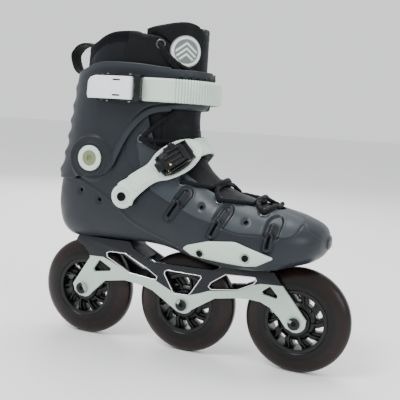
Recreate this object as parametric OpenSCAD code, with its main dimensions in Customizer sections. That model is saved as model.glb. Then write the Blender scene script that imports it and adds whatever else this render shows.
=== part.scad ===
// Right-foot inline skate: hard boot with hinged cuff, laces, two buckled straps and a
// three-wheel frame. X points to the toe, Y to the inner (medial) side, Z up.
// The origin is on the ground under the middle axle, on the mid-plane of the frame.

/* [Wheels] */
// Outer diameter of a tyre
wheel_d = 110; // [108:1:110]
// Width of a tyre
wheel_w = 24; // [22:1:24]
// Distance between neighbouring axles
axle_gap = 123.5; // [123:0.5:125]
// Diameter of the hub where the tyre starts
hub_d = 66; // [60:2:68]
// Number of hub spokes
spokes = 10; // [6:1:12]

/* [Frame] */
// Thickness of one frame side
side_t = 4; // [3:0.5:4.5]
// Gap between the frame sides
frame_gap = 26; // [26:0.5:27]
// Distance between the two frame mounting bolts
mount_gap = 165; // [160:1:168]

/* [Boot] */
// Wall of the moulded shell
shell_t = 3; // [2.5:0.1:3.2]
// Wall of the moulded cuff
cuff_t = 2.8; // [2:0.1:3]
// Gap between shell and cuff
cuff_gap = 1.2; // [1:0.1:1.4]
// Padding of the liner
liner_t = 5.6; // [4:0.2:7]

/* [Straps] */
// Thickness of the straps
strap_t = 2.2; // [1.8:0.1:2.4]
// Slope of the instep strap
instep_slope = 38.8; // [38:0.2:40]

/* [Quality] */
// Points around one boot section
around = 28; // [20:4:36]

/* [Hidden] */
$fn = 48;

// Colours
dark = [0.22, 0.25, 0.30];
black = [0.07, 0.08, 0.10];
mint = [0.80, 0.87, 0.82];
pale = [0.90, 0.93, 0.94];
steel = [0.75, 0.75, 0.78];
olive = [0.42, 0.48, 0.36];

// Wheels and bearings
wheel_r = wheel_d / 2;
axles = [-axle_gap, 0, axle_gap];
tread_flat = 2;
hub_r = hub_d / 2;
bearing_w = 7;
bearing_r = 11;
bearing_in = wheel_w / 2 - bearing_w;
ring_r = 5.5;
race_r = 9.5;
ball_r = 1.95;
ball_count = 7;
axle_r = 4;
fit = 0.02;

// Frame
side_in = frame_gap / 2;
side_out = side_in + side_t;
wheel_room = wheel_r + 2.5;
heel_z = 115.5;
ball_z = 103.5;
rear_bolt_x = -96;
front_bolt_x = rear_bolt_x + mount_gap;
bolt_r = 4;

// Cuff hinge
pivot = [-102, 206];
pad_y = 44;
pivot_r = 6;
pivot_fit = 0.05;

// Instep strap: its own axes start at the screw, u runs forward and up, v across the strap
strap_at = [-62.4, 0, 168.6];
strap_reach = 94.5;
strap_half = 46.2;
strap_round = 2.5;

// Cuff strap and buckle
cuff_mid = -64.5;
cuff_reach = 82;
cuff_half = 52;
cuff_round = 2.3;
buckle_z0 = 267;
buckle_z1 = 294;
cheek_t = 1.6;
base_y = -50.3;
lever_pin = [-54, -59.2];
catch_pin = [-80, -58];

// Boot sections from the toe over the heel to the top of the leg. Each row holds
// outer point x and z, inner point x and z, half width, centre y,
// roundness at the outer and at the inner end, and where along it the section is widest.
boot = [
    [147, 130, 147, 145, 12, 9, 2.4, 2.2, 0.50],
    [142.5, 123, 142.5, 153, 26, 8, 2.6, 2.2, 0.52],
    [133, 117, 133, 159, 37, 6, 3.0, 2.2, 0.55],
    [117, 112, 117, 164.5, 45, 4, 3.2, 2.2, 0.58],
    [95, 106, 95, 170, 49.5, 1.5, 3.2, 2.2, 0.60],
    [68, 104, 68, 177, 51, -0.5, 3.2, 2.2, 0.60],
    [40, 104.5, 38, 188.5, 49.5, -1.5, 3.2, 2.1, 0.60],
    [12, 109, 20, 202, 46, -1.5, 3.2, 2.0, 0.60],
    [-20, 116, 10, 216, 43, -1, 3.2, 1.9, 0.58],
    [-58, 117.5, 5, 228, 41.5, -0.5, 3.0, 1.9, 0.55],
    [-98, 116, 4, 238, 41.5, 0, 2.8, 2.0, 0.52],
    [-134, 114, 4, 246, 41.5, 0, 2.7, 2.1, 0.50],
    [-152, 122.5, 4, 252, 42, 0, 2.5, 2.2, 0.50],
    [-160, 141, 4, 258, 43, 0, 2.3, 2.2, 0.50],
    [-161, 163, 4.5, 263, 43.5, 0, 2.2, 2.2, 0.50],
    [-156.5, 188, 5, 269, 44, 0, 2.2, 2.2, 0.50],
    [-149.5, 215, 5.5, 275, 44, 0, 2.2, 2.2, 0.50],
    [-145, 245, 6.5, 283, 44, 0, 2.2, 2.2, 0.50],
    [-141.5, 272, 8, 293, 44.2, 0, 2.2, 2.2, 0.50],
    [-138, 300, 9, 304, 44.6, 0, 2.2, 2.2, 0.50],
    [-136, 330, 9, 335, 45, 0, 2.2, 2.2, 0.50],
    [-134, 358, 9, 360, 45, 0, 2.2, 2.2, 0.50],
    [-133, 380, 9, 382, 45, 0, 2.2, 2.2, 0.50]];

function at(i) = boot[max(0, min(len(boot) - 1, i))];
function blend4(a, b, c, d, f) =
    0.5 * (2 * b + (c - a) * f + (2 * a - 5 * b + 4 * c - d) * f * f + (3 * b - a - 3 * c + d) * f * f * f);
function section(s) = let(i = min(floor(s), len(boot) - 2)) blend4(at(i - 1), at(i), at(i + 1), at(i + 2), s - i);
function curved(v, n) = sign(v) * pow(abs(v), 2 / n);

// A point of the boot surface: s picks the section, t turns around it from the inner end (0)
// over the medial side (90), and d moves the point outward.
function skin(s, t, d) =
    let(r = section(s), inner = [r[2], r[3]], across = [r[0], r[1]] - inner, size = norm(across),
        dir = across / size, c = cos(t), n = c >= 0 ? r[7] : r[6],
        half = (c >= 0 ? size * r[8] : size * (1 - r[8])) + d,
        p = inner + dir * (size * r[8] - curved(c, n) * half))
    [p[0], r[5] + curved(sin(t), n) * (r[4] + d), p[1]];

function outward(s, t) =
    let(n = cross(skin(s, t + 1, 0) - skin(s, t - 1, 0), skin(s + 0.05, t, 0) - skin(s - 0.05, t, 0))) n / norm(n);

// Evaluates everything inside as one closed mesh
module as_mesh() {
    resize([0, 0, 0]) children();
}

// Solid filled by the boot surface from ring r0 to ring r1, which lie ring_step sections apart
ring_step = 0.6;
module loft(r0, r1, d) {
    rings = r1 - r0;
    points = [for (i = [r0:r1]) for (k = [0:around - 1]) skin(i * ring_step, 360 * k / around, d)];
    sides = [for (i = [0:rings - 1]) for (k = [0:around - 1]) let(a = i * around, k1 = (k + 1) % around)
        for (tri = [[a + k, a + around + k, a + k1], [a + k1, a + around + k, a + around + k1]]) tri];
    first = [for (k = [0:around - 1]) k];
    last = [for (k = [around - 1:-1:0]) rings * around + k];
    polyhedron(points, concat(sides, [first, last]), convexity = 6);
}

// Side-view outline carried across the boot from y0 to y1
module slab(outline, y0 = -90, y1 = 90) {
    translate([0, y1, 0]) rotate([90, 0, 0]) linear_extrude(y1 - y0) polygon(outline);
}

// Cylinder along Y from y0 to y1
module pin_y(x, z, r, y0, y1) {
    translate([x, y0, z]) rotate([-90, 0, 0]) cylinder(r = r, h = y1 - y0);
}

module both_sides() {
    children();
    mirror([0, 1, 0]) children();
}

// Stands a child's Z axis on the boot surface
module on_skin(s, t, d = 0) {
    n = outward(s, t);
    translate(skin(s, t, d)) rotate([0, acos(n[2]), atan2(n[1], n[0])]) children();
}

// Side-view outlines
top_line = [[104, 168.5], [76, 169.8], [57, 173.5], [38, 178.5], [21, 186], [0, 198], [-18, 210], [-32, 224.7],
    [-37, 236], [-42, 257], [-46, 268], [-72, 268], [-88, 246], [-104, 229], [-125, 220], [-170, 216]];
floor_line = [[-170, 128], [-60, 127], [20, 116.5], [60, 114], [95, 114.5], [120, 118.5], [150, 127]];
function above(line, dz = 0) =
    concat([for (p = line) p + [0, dz]], [[line[len(line) - 1][0], 400], [line[0][0], 400]]);
function below(line, dz = 0) =
    concat([for (p = line) p + [0, dz]], [[line[len(line) - 1][0], -10], [line[0][0], -10]]);
liner_floor = [[-170, 132.6], [-62, 131.6], [-40, 125.5], [20, 117], [60, 114.5], [95, 115], [120, 119], [150, 127.5]];
split_low = [[-170, 196], [-108, 200], [160, 289]];
split_high = [[-170, 203], [-104, 208], [160, 338]];

// Boot shell
eyelets = [[4.31, -36.6], [5.86, -44], [8.08, -57.9], [13.81, -69.8]];
vent_at = [[-6, 160], [42.6, 146.5], [97.5, 139]];
vent_tilt = [32, 24, 7];
vent_l = 17;
vent_r = 1.5;
port_at = [[25.7, 166.2], [73.1, 156.1], [-117.2, 169.7], [-93.6, 161.5]];
port_r = 2.8;
slider_t = 3.4;
slider_holes = [[6.36, 112.5], [4.66, 100.2]];

module shell() color(dark) difference() {
    as_mesh($fn = 20) difference() {
        union() {
            loft(0, 31, 0);
            both_sides() pin_y(pivot[0], pivot[1], 24, 36, pad_y);
        }
        intersection() {
            loft(1, 35, -shell_t);
            slab(above(floor_line));
        }
        slab(above(top_line));
        translate([82, 0, 150]) cylinder(r = 20, h = 60);
        for (i = [0:2])
            translate([vent_at[i][0], 0, vent_at[i][1]]) rotate([90, vent_tilt[i], 0])
                linear_extrude(200, center = true) vent_slot();
        for (p = port_at)
            pin_y(p[0], p[1], port_r, -90, 90);
        for (side = [-1, 1]) for (e = eyelets)
            on_skin(e[0], side * e[1]) cylinder(r = 3.3, h = 20, center = true);
        for (side = [-1, 1]) for (h = slider_holes)
            on_skin(h[0], side * h[1]) cylinder(r = 2.1, h = 20, center = true);
        both_sides() pin_y(pivot[0], pivot[1], 9.1, 30, 41.4);
        both_sides() pin_y(strap_at[0], strap_at[2], 3.1, 30, 60);
        for (x = [rear_bolt_x, front_bolt_x])
            translate([x, 0, 80]) cylinder(r = bolt_r + 0.1, h = (x < 0 ? heel_z : ball_z) + 8 - 80);
        translate([0, 0, heel_z - 20]) slab([[-140, -80], [-60, -80], [-60, 20], [-140, 20]], -24, 24);
        slab([[40, 80], [102, 80], [102, ball_z], [40, ball_z]], -24, 24);
    }
    pin_y(pivot[0], pivot[1], pivot_r + pivot_fit, -60, 60);
}

module vent_slot() {
    hull() for (v = [-1, 1])
        translate([0, v * (vent_l / 2 - vent_r)]) circle(vent_r);
}

slider_outline = [[9, 122], [14, 125.5], [38, 133.5], [66, 136.5], [104, 124], [88, 115], [77, 113.5], [18, 116]];

// Slide plate that follows the shell
module slider(side) color(mint) difference() {
    as_mesh() intersection() {
        difference() {
            loft(4, 14, slider_t);
            loft(3, 15, 0.15);
        }
        slab(slider_outline, side < 0 ? -90 : 20, side < 0 ? -20 : 90);
    }
    for (h = slider_holes)
        on_skin(h[0], side * h[1]) cylinder(r = 2.1, h = 20, center = true);
}

module slider_screws() color(black) for (side = [-1, 1]) for (h = slider_holes)
    on_skin(h[0], side * h[1]) difference() {
        union() {
            translate([0, 0, -2.6]) cylinder(r = 2, h = slider_t + 3);
            translate([0, 0, slider_t + 0.15]) cylinder(r = 3.4, h = 1.4);
        }
        translate([0, 0, slider_t + 0.7]) cylinder(d = 2.9, h = 2, $fn = 6);
    }

// Liner, tongue and inner soles
module liner_boot() color(black) as_mesh() difference() {
    intersection() {
        loft(2, 32, -shell_t - 0.4);
        slab(above(liner_floor));
        slab(below(split_low));
    }
    intersection() {
        loft(3, 34, -shell_t - 0.4 - liner_t);
        slab(above(liner_floor, 4));
    }
    slab(above(top_line, -5));
}

module tongue_lower() color(black) as_mesh() difference() {
    intersection() {
        loft(2, 32, -shell_t - 0.4);
        slab(concat([for (p = [for (i = [0:9]) top_line[i]]) p - [0, 4.6]], [[40, 262], [120, 200]]));
        slab(below(split_low));
    }
    loft(3, 34, -shell_t - 0.4 - liner_t);
}

module footbed() color(olive) as_mesh() intersection() {
    loft(3, 34, -shell_t - 0.9 - liner_t);
    slab(above(liner_floor, 4.4));
    slab(below(liner_floor, 8.4));
}

module heel_pad() color(black) intersection() {
    translate([-118, 0, 128.4]) cylinder(r = 27, h = 3.6);
    translate([-128, 0, 128.4]) cylinder(r = 24, h = 3.6);
}

module shell_eyelets() color(steel) for (side = [-1, 1]) for (e = eyelets)
    on_skin(e[0], side * e[1]) difference() {
        union() {
            translate([0, 0, 0.1]) cylinder(r = 4.6, h = 0.45);
            translate([0, 0, -shell_t + 0.3]) cylinder(r = 3.1, h = shell_t + 0.1);
        }
        cylinder(r = 2.4, h = 20, center = true);
    }

// Laces: strands between eyelets, over the tongue. A strand starts at eyelet i on one side, ends
// at eyelet j on the other, and crosses the middle at section lace_front. It lies on the shell
// down to the opening's edge, at angle lace_edge, and then sinks onto the tongue.
lace_r = 1.9;
lace_rest = -0.6;
lace_proud = 2.2;
lace_start = 3.2;
lace_front = [4, 5.35, 6.7, 9.5];
lace_edge = [12, 31, 42, 56];
module strand(i, j, side, hump) {
    steps = 15;
    front = (lace_front[i] + lace_front[j]) / 2;
    a = eyelets[i];
    b = eyelets[j];
    path = [for (k = [0:steps]) let(f = k / steps, m = 1 - pow(2 * f - 1, 2), t = a[1] - (a[1] + b[1]) * f,
            sunk = max(0, min(1, (lace_edge[f < 0.5 ? i : j] - abs(t)) / 9)), end = max(0, 1 - m * 2.5))
        skin((a[0] + (b[0] - a[0]) * f) * (1 - m) + front * m, side * t,
            lace_proud + (lace_rest - lace_proud) * sunk + (lace_start - lace_proud) * end
                + hump * max(0, 4 * m - 3))];
    tube(path, lace_r);
}

function unit(v) = v / norm(v);
function ring_at(path, i, r, sides) =
    let(n = len(path), d = unit(path[min(n - 1, i + 1)] - path[max(0, i - 1)]),
        u = unit(cross(d, abs(d[0]) < 0.9 ? [1, 0, 0] : [0, 0, 1])), w = cross(d, u))
    [for (k = [0:sides - 1]) path[i] + r * (cos(360 * k / sides) * u + sin(360 * k / sides) * w)];

module tube(path, r, sides = 8) {
    n = len(path);
    points = [for (i = [0:n - 1]) each ring_at(path, i, r, sides)];
    walls = [for (i = [0:n - 2]) for (k = [0:sides - 1]) let(a = i * sides, k1 = (k + 1) % sides)
        for (tri = [[a + k, a + sides + k, a + k1], [a + k1, a + sides + k, a + sides + k1]]) tri];
    first = [for (k = [0:sides - 1]) k];
    last = [for (k = [sides - 1:-1:0]) (n - 1) * sides + k];
    polyhedron(points, concat(walls, [first, last]), convexity = 4);
}

module laces() color(black) as_mesh() union() {
    strand(0, 0, 1, 0);
    strand(3, 3, 1, 0);
    for (i = [0:2]) {
        strand(i, i + 1, 1, 0);
        strand(i, i + 1, -1, 3.9);
    }
    for (side = [-1, 1]) for (e = eyelets)
        on_skin(e[0], side * e[1]) translate([0, 0, -2.4]) rotate(11) cylinder(r = lace_r + 0.15, h = 5.5, $fn = 8);
}

// Frame
frame_outline = [[-131, 115.5], [-134, 109], [-123, 103.5], [-117.5, 98], [-115, 92], [-135.5, 59], [-133, 51],
    [-127, 46.5], [-120, 45.5], [-114, 48.5], [-95, 67.5], [-70, 71.7], [-47, 68.8], [-35.5, 65.3], [-20, 56],
    [-5.5, 47], [0, 45.6], [5.5, 47], [21, 57], [37, 67.5], [60, 71.5], [75, 72.5], [87, 71.5], [97, 67.3],
    [107, 58.7], [115, 49], [123, 45.5], [130, 47], [134.5, 52.5], [135.2, 59], [108.3, 91.2], [99, 103.5],
    [44.5, 103.5], [38.8, 99.5], [32.7, 97.4], [7.2, 97.2], [-37.4, 96.6], [-61, 108.3], [-66, 115.5]];
windows = [
    [[-94, 99.7], [-89.5, 101.7], [-70.5, 101.7], [-43.2, 88.7], [-31, 81.4], [-32, 77.3], [-64, 80.6], [-93, 95.2]],
    [[-22, 88.7], [-19.5, 90.1], [19.7, 89.5], [20.3, 87.1], [9, 68.5], [6, 66], [-9.6, 65.6], [-12, 68.4],
        [-22.5, 85.5]],
    [[29, 79.2], [31.8, 84], [47.6, 95], [78.8, 96.4], [81, 93], [78.2, 89.1], [61.4, 80.5], [32.3, 76.6]],
    [[-103, 90.9], [-87.8, 82.6], [-88.5, 79.3], [-109.1, 75.9], [-110.5, 79.4]],
    [[95.8, 89.3], [104.4, 80.5], [103.4, 77.3], [88.7, 79.8], [87, 82.5]]];
rear_block = [[-131, 115.5], [-133, 110], [-123, 103.5], [-117.5, 98], [-108, 95], [-96, 103], [-70.5, 103], [-58, 97],
    [-48, 94], [-46, 100], [-61, 108.3], [-66, 115.5]];
front_block = [[99, 103.5], [100, 100], [84, 97.5], [47.6, 96.5], [34, 88], [30, 92], [33, 97.4], [39, 99.5],
    [44.5, 103.5]];

module frame() color(mint) difference() {
    union() {
        for (y = [-side_out, side_in])
            difference() {
                slab(frame_outline, y, y + side_t);
                for (w = windows)
                    slab(w);
            }
        slab(rear_block, -side_in, side_in);
        slab(front_block, -side_in, side_in);
        for (x = axles)
            both_sides() pin_y(x, wheel_r, 5.6, wheel_w / 2 + fit, side_in + 0.5);
    }
    for (x = axles) {
        pin_y(x, wheel_r, wheel_room, -side_in + 0.01, -wheel_w / 2 - fit - 0.6);
        pin_y(x, wheel_r, axle_r + fit, -30, 30);
    }
    for (x = axles)
        difference() {
            pin_y(x, wheel_r, wheel_room, -side_in, side_in);
            pin_y(x, wheel_r, 5.6, -side_in, side_in);
        }
    for (x = axles)
        pin_y(x, wheel_r, 5.7, -wheel_w / 2 - fit, wheel_w / 2 + fit);
    frame_bolt_hole(rear_bolt_x, 112.2);
    frame_bolt_hole(front_bolt_x, 99);
}

module frame_bolt_hole(x, seat) {
    translate([x, 0, 80]) cylinder(r = bolt_r + 0.1, h = 60);
    translate([x, 0, 80]) cylinder(r = 7.4, h = seat - 80);
}

module frame_bolts() color(steel) {
    frame_bolt(rear_bolt_x, 111.4, heel_z + 7.5, 2.2);
    frame_bolt(front_bolt_x, 98.2, ball_z + 7.5, 4);
}

module frame_bolt(x, seat, tip, head) difference() {
    translate([x, 0, seat - head]) union() {
        cylinder(r = 6.2, h = head);
        cylinder(r = bolt_r, h = tip - seat + head);
    }
    translate([x, 0, seat - head - 1]) cylinder(d = 5.8, h = head - 0.2, $fn = 6);
}

module frame_washers() color(steel) for (w = [[rear_bolt_x, 112.15], [front_bolt_x, 98.95]])
    translate([w[0], 0, w[1] - 0.7]) difference() {
        cylinder(r = 7.2, h = 0.7);
        cylinder(r = bolt_r + 0.05, h = 3, center = true);
    }

module axle_bolts() color(steel) for (x = axles) difference() {
    union() {
        pin_y(x, wheel_r, axle_r, -side_out - 0.5, side_out + 0.3);
        pin_y(x, wheel_r, 6.8, -side_out - 2.6, -side_out - 0.03);
    }
    translate([x, -side_out - 3, wheel_r]) rotate([-90, 0, 0]) cylinder(d = 5.8, h = 3.5, $fn = 6);
}

// Wheels
module wheel_turn(i) {
    translate([axles[i], 0, wheel_r]) rotate([90, 0, 0]) children();
}

module ring(r0, r1, z0, z1) {
    rotate_extrude() translate([r0, z0]) square([r1 - r0, z1 - z0]);
}

module tyre(i) color([0.20, 0.16, 0.15]) wheel_turn(i) {
    half = wheel_w / 2;
    drop = wheel_r - hub_r;
    arc = [for (m = [-1, 1]) for (k = [0:7]) let(a = m < 0 ? 90 - 90 * k / 7 : 90 * k / 7)
        [hub_r + drop * cos(a), m * (tread_flat + (half - tread_flat) * sin(a))]];
    rotate_extrude($fn = 96) polygon(arc);
}

module hub(i) color(black) wheel_turn(i) {
    half = wheel_w / 2 - 0.6;
    ring(hub_r - 4.2, hub_r, -half, half);
    difference() {
        ring(9, 14.5, -half, half);
        for (m = [0, 1])
            mirror([0, 0, m]) translate([0, 0, bearing_in]) cylinder(r = bearing_r, h = 20);
    }
    for (k = [0:spokes - 1])
        rotate(360 * k / spokes) linear_extrude(13, center = true)
            polygon([[13.2, -2.2], [20, -0.6], [hub_r - 3.6, 5.2], [hub_r - 3.6, 8.6], [19.5, 2.6], [13.2, 2.2]]);
}

module bearing_rings(i) color(steel) wheel_turn(i) for (m = [0, 1])
    mirror([0, 0, m]) ring(race_r, bearing_r, bearing_in, bearing_in + bearing_w);

module bearing_balls(i) color(steel) wheel_turn(i) for (m = [0, 1])
    mirror([0, 0, m]) for (k = [0:ball_count - 1])
        rotate(360 * k / ball_count) translate([(ring_r + race_r) / 2, 0, bearing_in + bearing_w / 2]) sphere(ball_r);

module bearing_shields(i) color(black) wheel_turn(i) for (m = [0, 1])
    mirror([0, 0, m]) for (z = [0.3, bearing_w - 0.8])
        ring(ring_r + 0.15, race_r, bearing_in + z, bearing_in + z + 0.5);

module bearing_inner_rings() color(steel) for (i = [0:2])
    wheel_turn(i) for (m = [0, 1])
        mirror([0, 0, m]) ring(axle_r, ring_r, bearing_in, bearing_in + bearing_w);

module bearing_spacers() color(steel) for (i = [0:2])
    wheel_turn(i) ring(axle_r, ring_r - 0.3, -bearing_in, bearing_in);

// Instep strap
function oval(a, b, n, t) = [a * curved(cos(t), n), b * curved(sin(t), n)];
module strap_frame() {
    translate(strap_at) rotate([0, -instep_slope, 0]) children();
}

// Band bent around the boot between two angles, in the u-y plane, from v0 to v1
module bent_band(a, b, n, thick, t0, t1, v0, v1, lead) {
    steps = 20;
    inner = [for (i = [0:steps]) oval(a, b, n, t0 + (t1 - t0) * i / steps)];
    outer = [for (i = [steps:-1:0]) oval(a + thick, b + thick, n, t0 + (t1 - t0) * i / steps)];
    tails = lead > 0 ? [[-lead, -b - thick], [-lead, -b]] : [];
    heads = lead < 0 ? [[lead, b], [lead, b + thick]] : [];
    translate([0, 0, v0]) linear_extrude(v1 - v0) polygon(concat(tails, inner, heads, outer));
}

arm_outline = [[2, -11.8], [9, -9.8], [20, -8.2], [32, -7.6], [42, -8.8], [53, -13.8], [66, -16.2], [78, -16.6],
    [78, 16.4], [66, 16.8], [55, 15.6], [43, 11.6], [20, 13], [15.5, 12.2], [2, 11.8]];
arm_window = [[49, -1], [52, -9], [60, -12.4], [84, -13], [84, 13], [64, 13.4], [55, 10.5], [50, 5]];

module strap_arm() color(pale) strap_frame() difference() {
    intersection() {
        bent_band(strap_reach, strap_half, strap_round, strap_t + 0.6, -90, -20, -30, 30, 20);
        union() {
            slab(arm_outline, -80, 0);
            pin_y(0, 0, 12.2, -80, 0);
        }
    }
    slab(arm_window, -80, 0);
    pin_y(0, 0, 3.05, -80, 0);
}

module strap_ladder() color(pale) strap_frame() difference() {
    union() {
        bent_band(strap_reach, strap_half, strap_round, strap_t, -54, 90, -9.5, 9.5, 0);
        intersection() {
            bent_band(strap_reach, strap_half, strap_round, strap_t, 60, 90, -12, 12, -20);
            pin_y(0, 0, 12.2, 0, 80);
        }
        translate([-6, strap_half, -9.5]) cube([12, strap_t, 19]);
    }
    pin_y(0, 0, 3.05, 0, 80);
}

module strap_screws() color(black) strap_frame() {
    for (side = [[-1, strap_t + 0.6], [1, strap_t]])
        scale([1, side[0], 1]) difference() {
            union() {
                pin_y(0, 0, 3, strap_half - 5, strap_half + side[1] + 0.5);
                pin_y(0, 0, 4.8, strap_half + side[1] + 0.03, strap_half + side[1] + 2);
            }
            translate([0, strap_half + side[1] + 0.7, 0]) rotate([-90, 0, 0]) cylinder(d = 3.5, h = 3, $fn = 6);
        }
}

// Micro buckle on the lateral side: x runs along it towards the instep, y across, z outward
buckle_at = [52, -45.4];
buckle_turn = 27;
buckle_l = 37;
buckle_w = 21;
wall_t = 1.3;
plate_z = 2.4;
release_pin = [6, 7.2];
strap_pin = [29, 8.2];
module micro_frame() {
    strap_frame() translate([buckle_at[0], buckle_at[1], 0]) rotate([90, 0, buckle_turn]) children();
}

// Bar across the micro buckle
module cross_bar(at, r, w) {
    translate([at[0], w / 2, at[1]]) rotate([90, 0, 0]) cylinder(r = r, h = w);
}

module strap_buckle_base() color(black) micro_frame() difference() {
    union() {
        translate([0, -buckle_w / 2, plate_z]) cube([buckle_l, buckle_w, 1.2]);
        for (y = [-buckle_w / 2, buckle_w / 2 - wall_t])
            slab([[1.5, plate_z], [buckle_l, plate_z], [buckle_l, 8], [33, 11.5], [25, 11.5], [20, 8.5], [10, 9.5],
                [2.5, 9.5], [1.5, 8]], y, y + wall_t);
        translate([buckle_l - 2, -buckle_w / 2 + 0.5, plate_z]) cube([2, buckle_w - 1, 4]);
    }
    cross_bar(strap_pin, 1.4 + fit, buckle_w + 4);
    cross_bar(release_pin, 1.1 + fit, buckle_w + 4);
}

module strap_buckle_pins() color(steel) micro_frame() {
    cross_bar(strap_pin, 1.4, buckle_w + 0.8);
    cross_bar(release_pin, 1.1, buckle_w + 0.8);
}

module strap_lever() color(black) micro_frame() {
    w = buckle_w - 2 * wall_t - 0.8;
    difference() {
        union() {
            cross_bar(strap_pin, 3, w);
            slab([[29, 11.2], [29, 9.6], [22, 9.9], [9.5, 10.6], [4, 11.6], [3.6, 12.6], [9, 12.6], [22, 12]],
                -w / 2, w / 2);
        }
        cross_bar(strap_pin, 1.45, w + 2);
    }
}

module strap_release() color(black) micro_frame() difference() {
    union() {
        cross_bar(release_pin, 2.2, 12);
        slab([[6, 9.3], [-1.5, 9.6], [-4, 9], [-4, 8], [-1, 7.4], [6, 6.2]], -5, 5);
        slab([[6, 6], [10, 4.4], [10.5, 4.2], [9.5, 6.6], [6, 8.6]], -4, 4);
    }
    cross_bar(release_pin, 1.15, 14);
}

// Cuff
cuff_outline = [[-170, 181], [-127, 183.5], [-118, 187], [-88, 190], [-78, 198], [-71.5, 211], [-65.5, 223.5],
    [-58, 236], [-48, 248], [-37, 256.5], [-20, 260], [3, 262.5], [40, 264.5], [40, 301], [18, 302.5], [-2, 302],
    [-27, 303.5], [-53, 306], [-82, 307], [-100, 305.5], [-114, 301], [-132, 296.5], [-170, 295]];
boss_r = 22.5;
boss_y = 48.5;
rib_z = [192, 211, 229, 246, 262];

module cuff() color(dark) difference() {
    as_mesh() difference() {
        union() {
            intersection() {
                loft(22, 34, cuff_gap + cuff_t);
                slab(cuff_outline);
            }
            both_sides() pin_y(pivot[0], pivot[1], boss_r, pad_y + 0.6, boss_y);
            for (z = rib_z)
                translate([skin(14.5 + (z - 180) / 26.5, 180, cuff_gap + 1)[0], 0, z])
                    scale([3.6, 26, 6]) sphere(1, $fn = 16);
        }
        loft(21, 35, cuff_gap);
        both_sides() pin_y(pivot[0], pivot[1], boss_r + 2, 20, pad_y + 0.6);
        translate([-20, -4, 250]) cube([60, 16, 70]);
        for (x = rivet_x)
            pin_y(x, 280.5, 2.1, 30, 60, $fn = 16);
        for (x = base_rivet_x)
            pin_y(x, 280.5, 1.9, -60, -30, $fn = 16);
    }
    pin_y(pivot[0], pivot[1], pivot_r + pivot_fit, -60, 60);
}

module cuff_pivot_bolts() color(steel) both_sides() difference() {
    union() {
        pin_y(pivot[0], pivot[1], pivot_r, 39.5, boss_y + 0.4);
        pin_y(pivot[0], pivot[1], 8.1, boss_y + 0.3, boss_y + 2.6);
    }
    translate([pivot[0], boss_y + 0.6, pivot[1]]) rotate([-90, 0, 0]) cylinder(d = 7, h = 3, $fn = 6);
}

module cuff_pivot_nuts() color(steel) both_sides() difference() {
    pin_y(pivot[0], pivot[1], 9, 39.5, 41.3);
    pin_y(pivot[0], pivot[1], pivot_r + fit, 30, 50);
}

module cuff_pivot_caps() color(mint) both_sides() difference() {
    pin_y(pivot[0], pivot[1], 13.5, boss_y + 0.3, boss_y + 3);
    pin_y(pivot[0], pivot[1], 8.15, boss_y, boss_y + 4);
}

// Upper liner and tongue, which move with the cuff
collar_gap = -5.4;
collar_t = 6.6;
tongue_x = -27;
collar_top = [[-170, 322], [-132, 324], [-114, 328], [-101, 334], [-89, 337.5], [-78, 338.5], [-60, 338.5],
    [-41, 335], [60, 326]];
tongue_top = [[-60, 339], [-30, 346], [-8, 350], [3, 347], [8, 341], [60, 336]];

module collar_ring() {
    difference() {
        loft(23, 35, collar_gap);
        loft(22, 36, collar_gap - collar_t);
        slab(below(split_high));
    }
}

module liner_collar() color(black) as_mesh() difference() {
    collar_ring();
    slab(above(collar_top));
    translate([tongue_x, -80, 180]) cube([100, 160, 200]);
}

module tongue_upper() color(black) as_mesh() difference() {
    collar_ring();
    slab(above(tongue_top));
    translate([tongue_x + 0.5 - 200, -80, 150]) cube([200, 160, 250]);
}

module tongue_badge() color(mint) as_mesh() intersection() {
    difference() {
        loft(28, 35, collar_gap + 1.6);
        loft(27, 36, collar_gap + 0.1);
    }
    on_skin(19.6, -38) cylinder(r = 16, h = 40, center = true);
}

module collar_eyelets() color(steel) both_sides() on_skin(19.8, -66, collar_gap) difference() {
    translate([0, 0, 0.4]) cylinder(r = 5, h = 0.8);
    cylinder(r = 3.2, h = 10, center = true);
}

loop_outer = [[-134.2, 329.5], [-137, 331.8], [-142, 331.6], [-147, 329], [-151.5, 325], [-155.6, 318],
    [-156, 311], [-153.5, 304], [-149, 298.5], [-143.5, 297.6], [-141, 301], [-136.6, 303.5], [-135.6, 314],
    [-134.6, 322]];
loop_hole = [[-146, 321.5], [-136.8, 319.5], [-138.4, 312], [-140.5, 304.5], [-144, 310]];
tip_outer = [[-134.2, 331.8], [-137, 334], [-143, 333.6], [-148.5, 331], [-153.5, 326.5], [-157.8, 319],
    [-158.4, 312.5], [-156.2, 312], [-155.8, 318.2], [-151.8, 325.2], [-147.1, 329.2], [-142, 331.8], [-137, 332],
    [-134.4, 329.9]];

module pull_loop() color(black) difference() {
    slab(loop_outer, -10, 10);
    slab(loop_hole);
}

module pull_tip() color(mint) {
    slab(tip_outer, -8, 8);
}

// Cuff strap and its lever buckle
module in_cuff_plane(z0) {
    translate([cuff_mid, 0, z0]) children();
}

rivet_x = [-52, -62];
base_rivet_x = [-62, -93.6];
module cuff_strap() color(mint) difference() {
    in_cuff_plane(0) bent_band(cuff_reach, cuff_half, cuff_round, strap_t, -90, 88, buckle_z0 + 2,
        buckle_z1 - 2, 21);
    for (x = rivet_x)
        pin_y(x, 280.5, 2.05, 30, 80);
}

module cuff_rivets() color(steel) {
    for (x = rivet_x) {
        pin_y(x, 280.5, 2, 46.2, cuff_half + strap_t + 0.4);
        pin_y(x, 280.5, 3.6, cuff_half + strap_t + 0.05, cuff_half + strap_t + 1.2);
    }
    for (x = base_rivet_x) {
        pin_y(x, 280.5, 1.8, base_y - 0.6, -45.8);
        pin_y(x, 280.5, 3, base_y - 0.65, base_y - 0.05);
    }
}

module cuff_bar(at, r, z0, z1) {
    translate([at[0], at[1], z0]) cylinder(r = r, h = z1 - z0);
}

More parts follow.
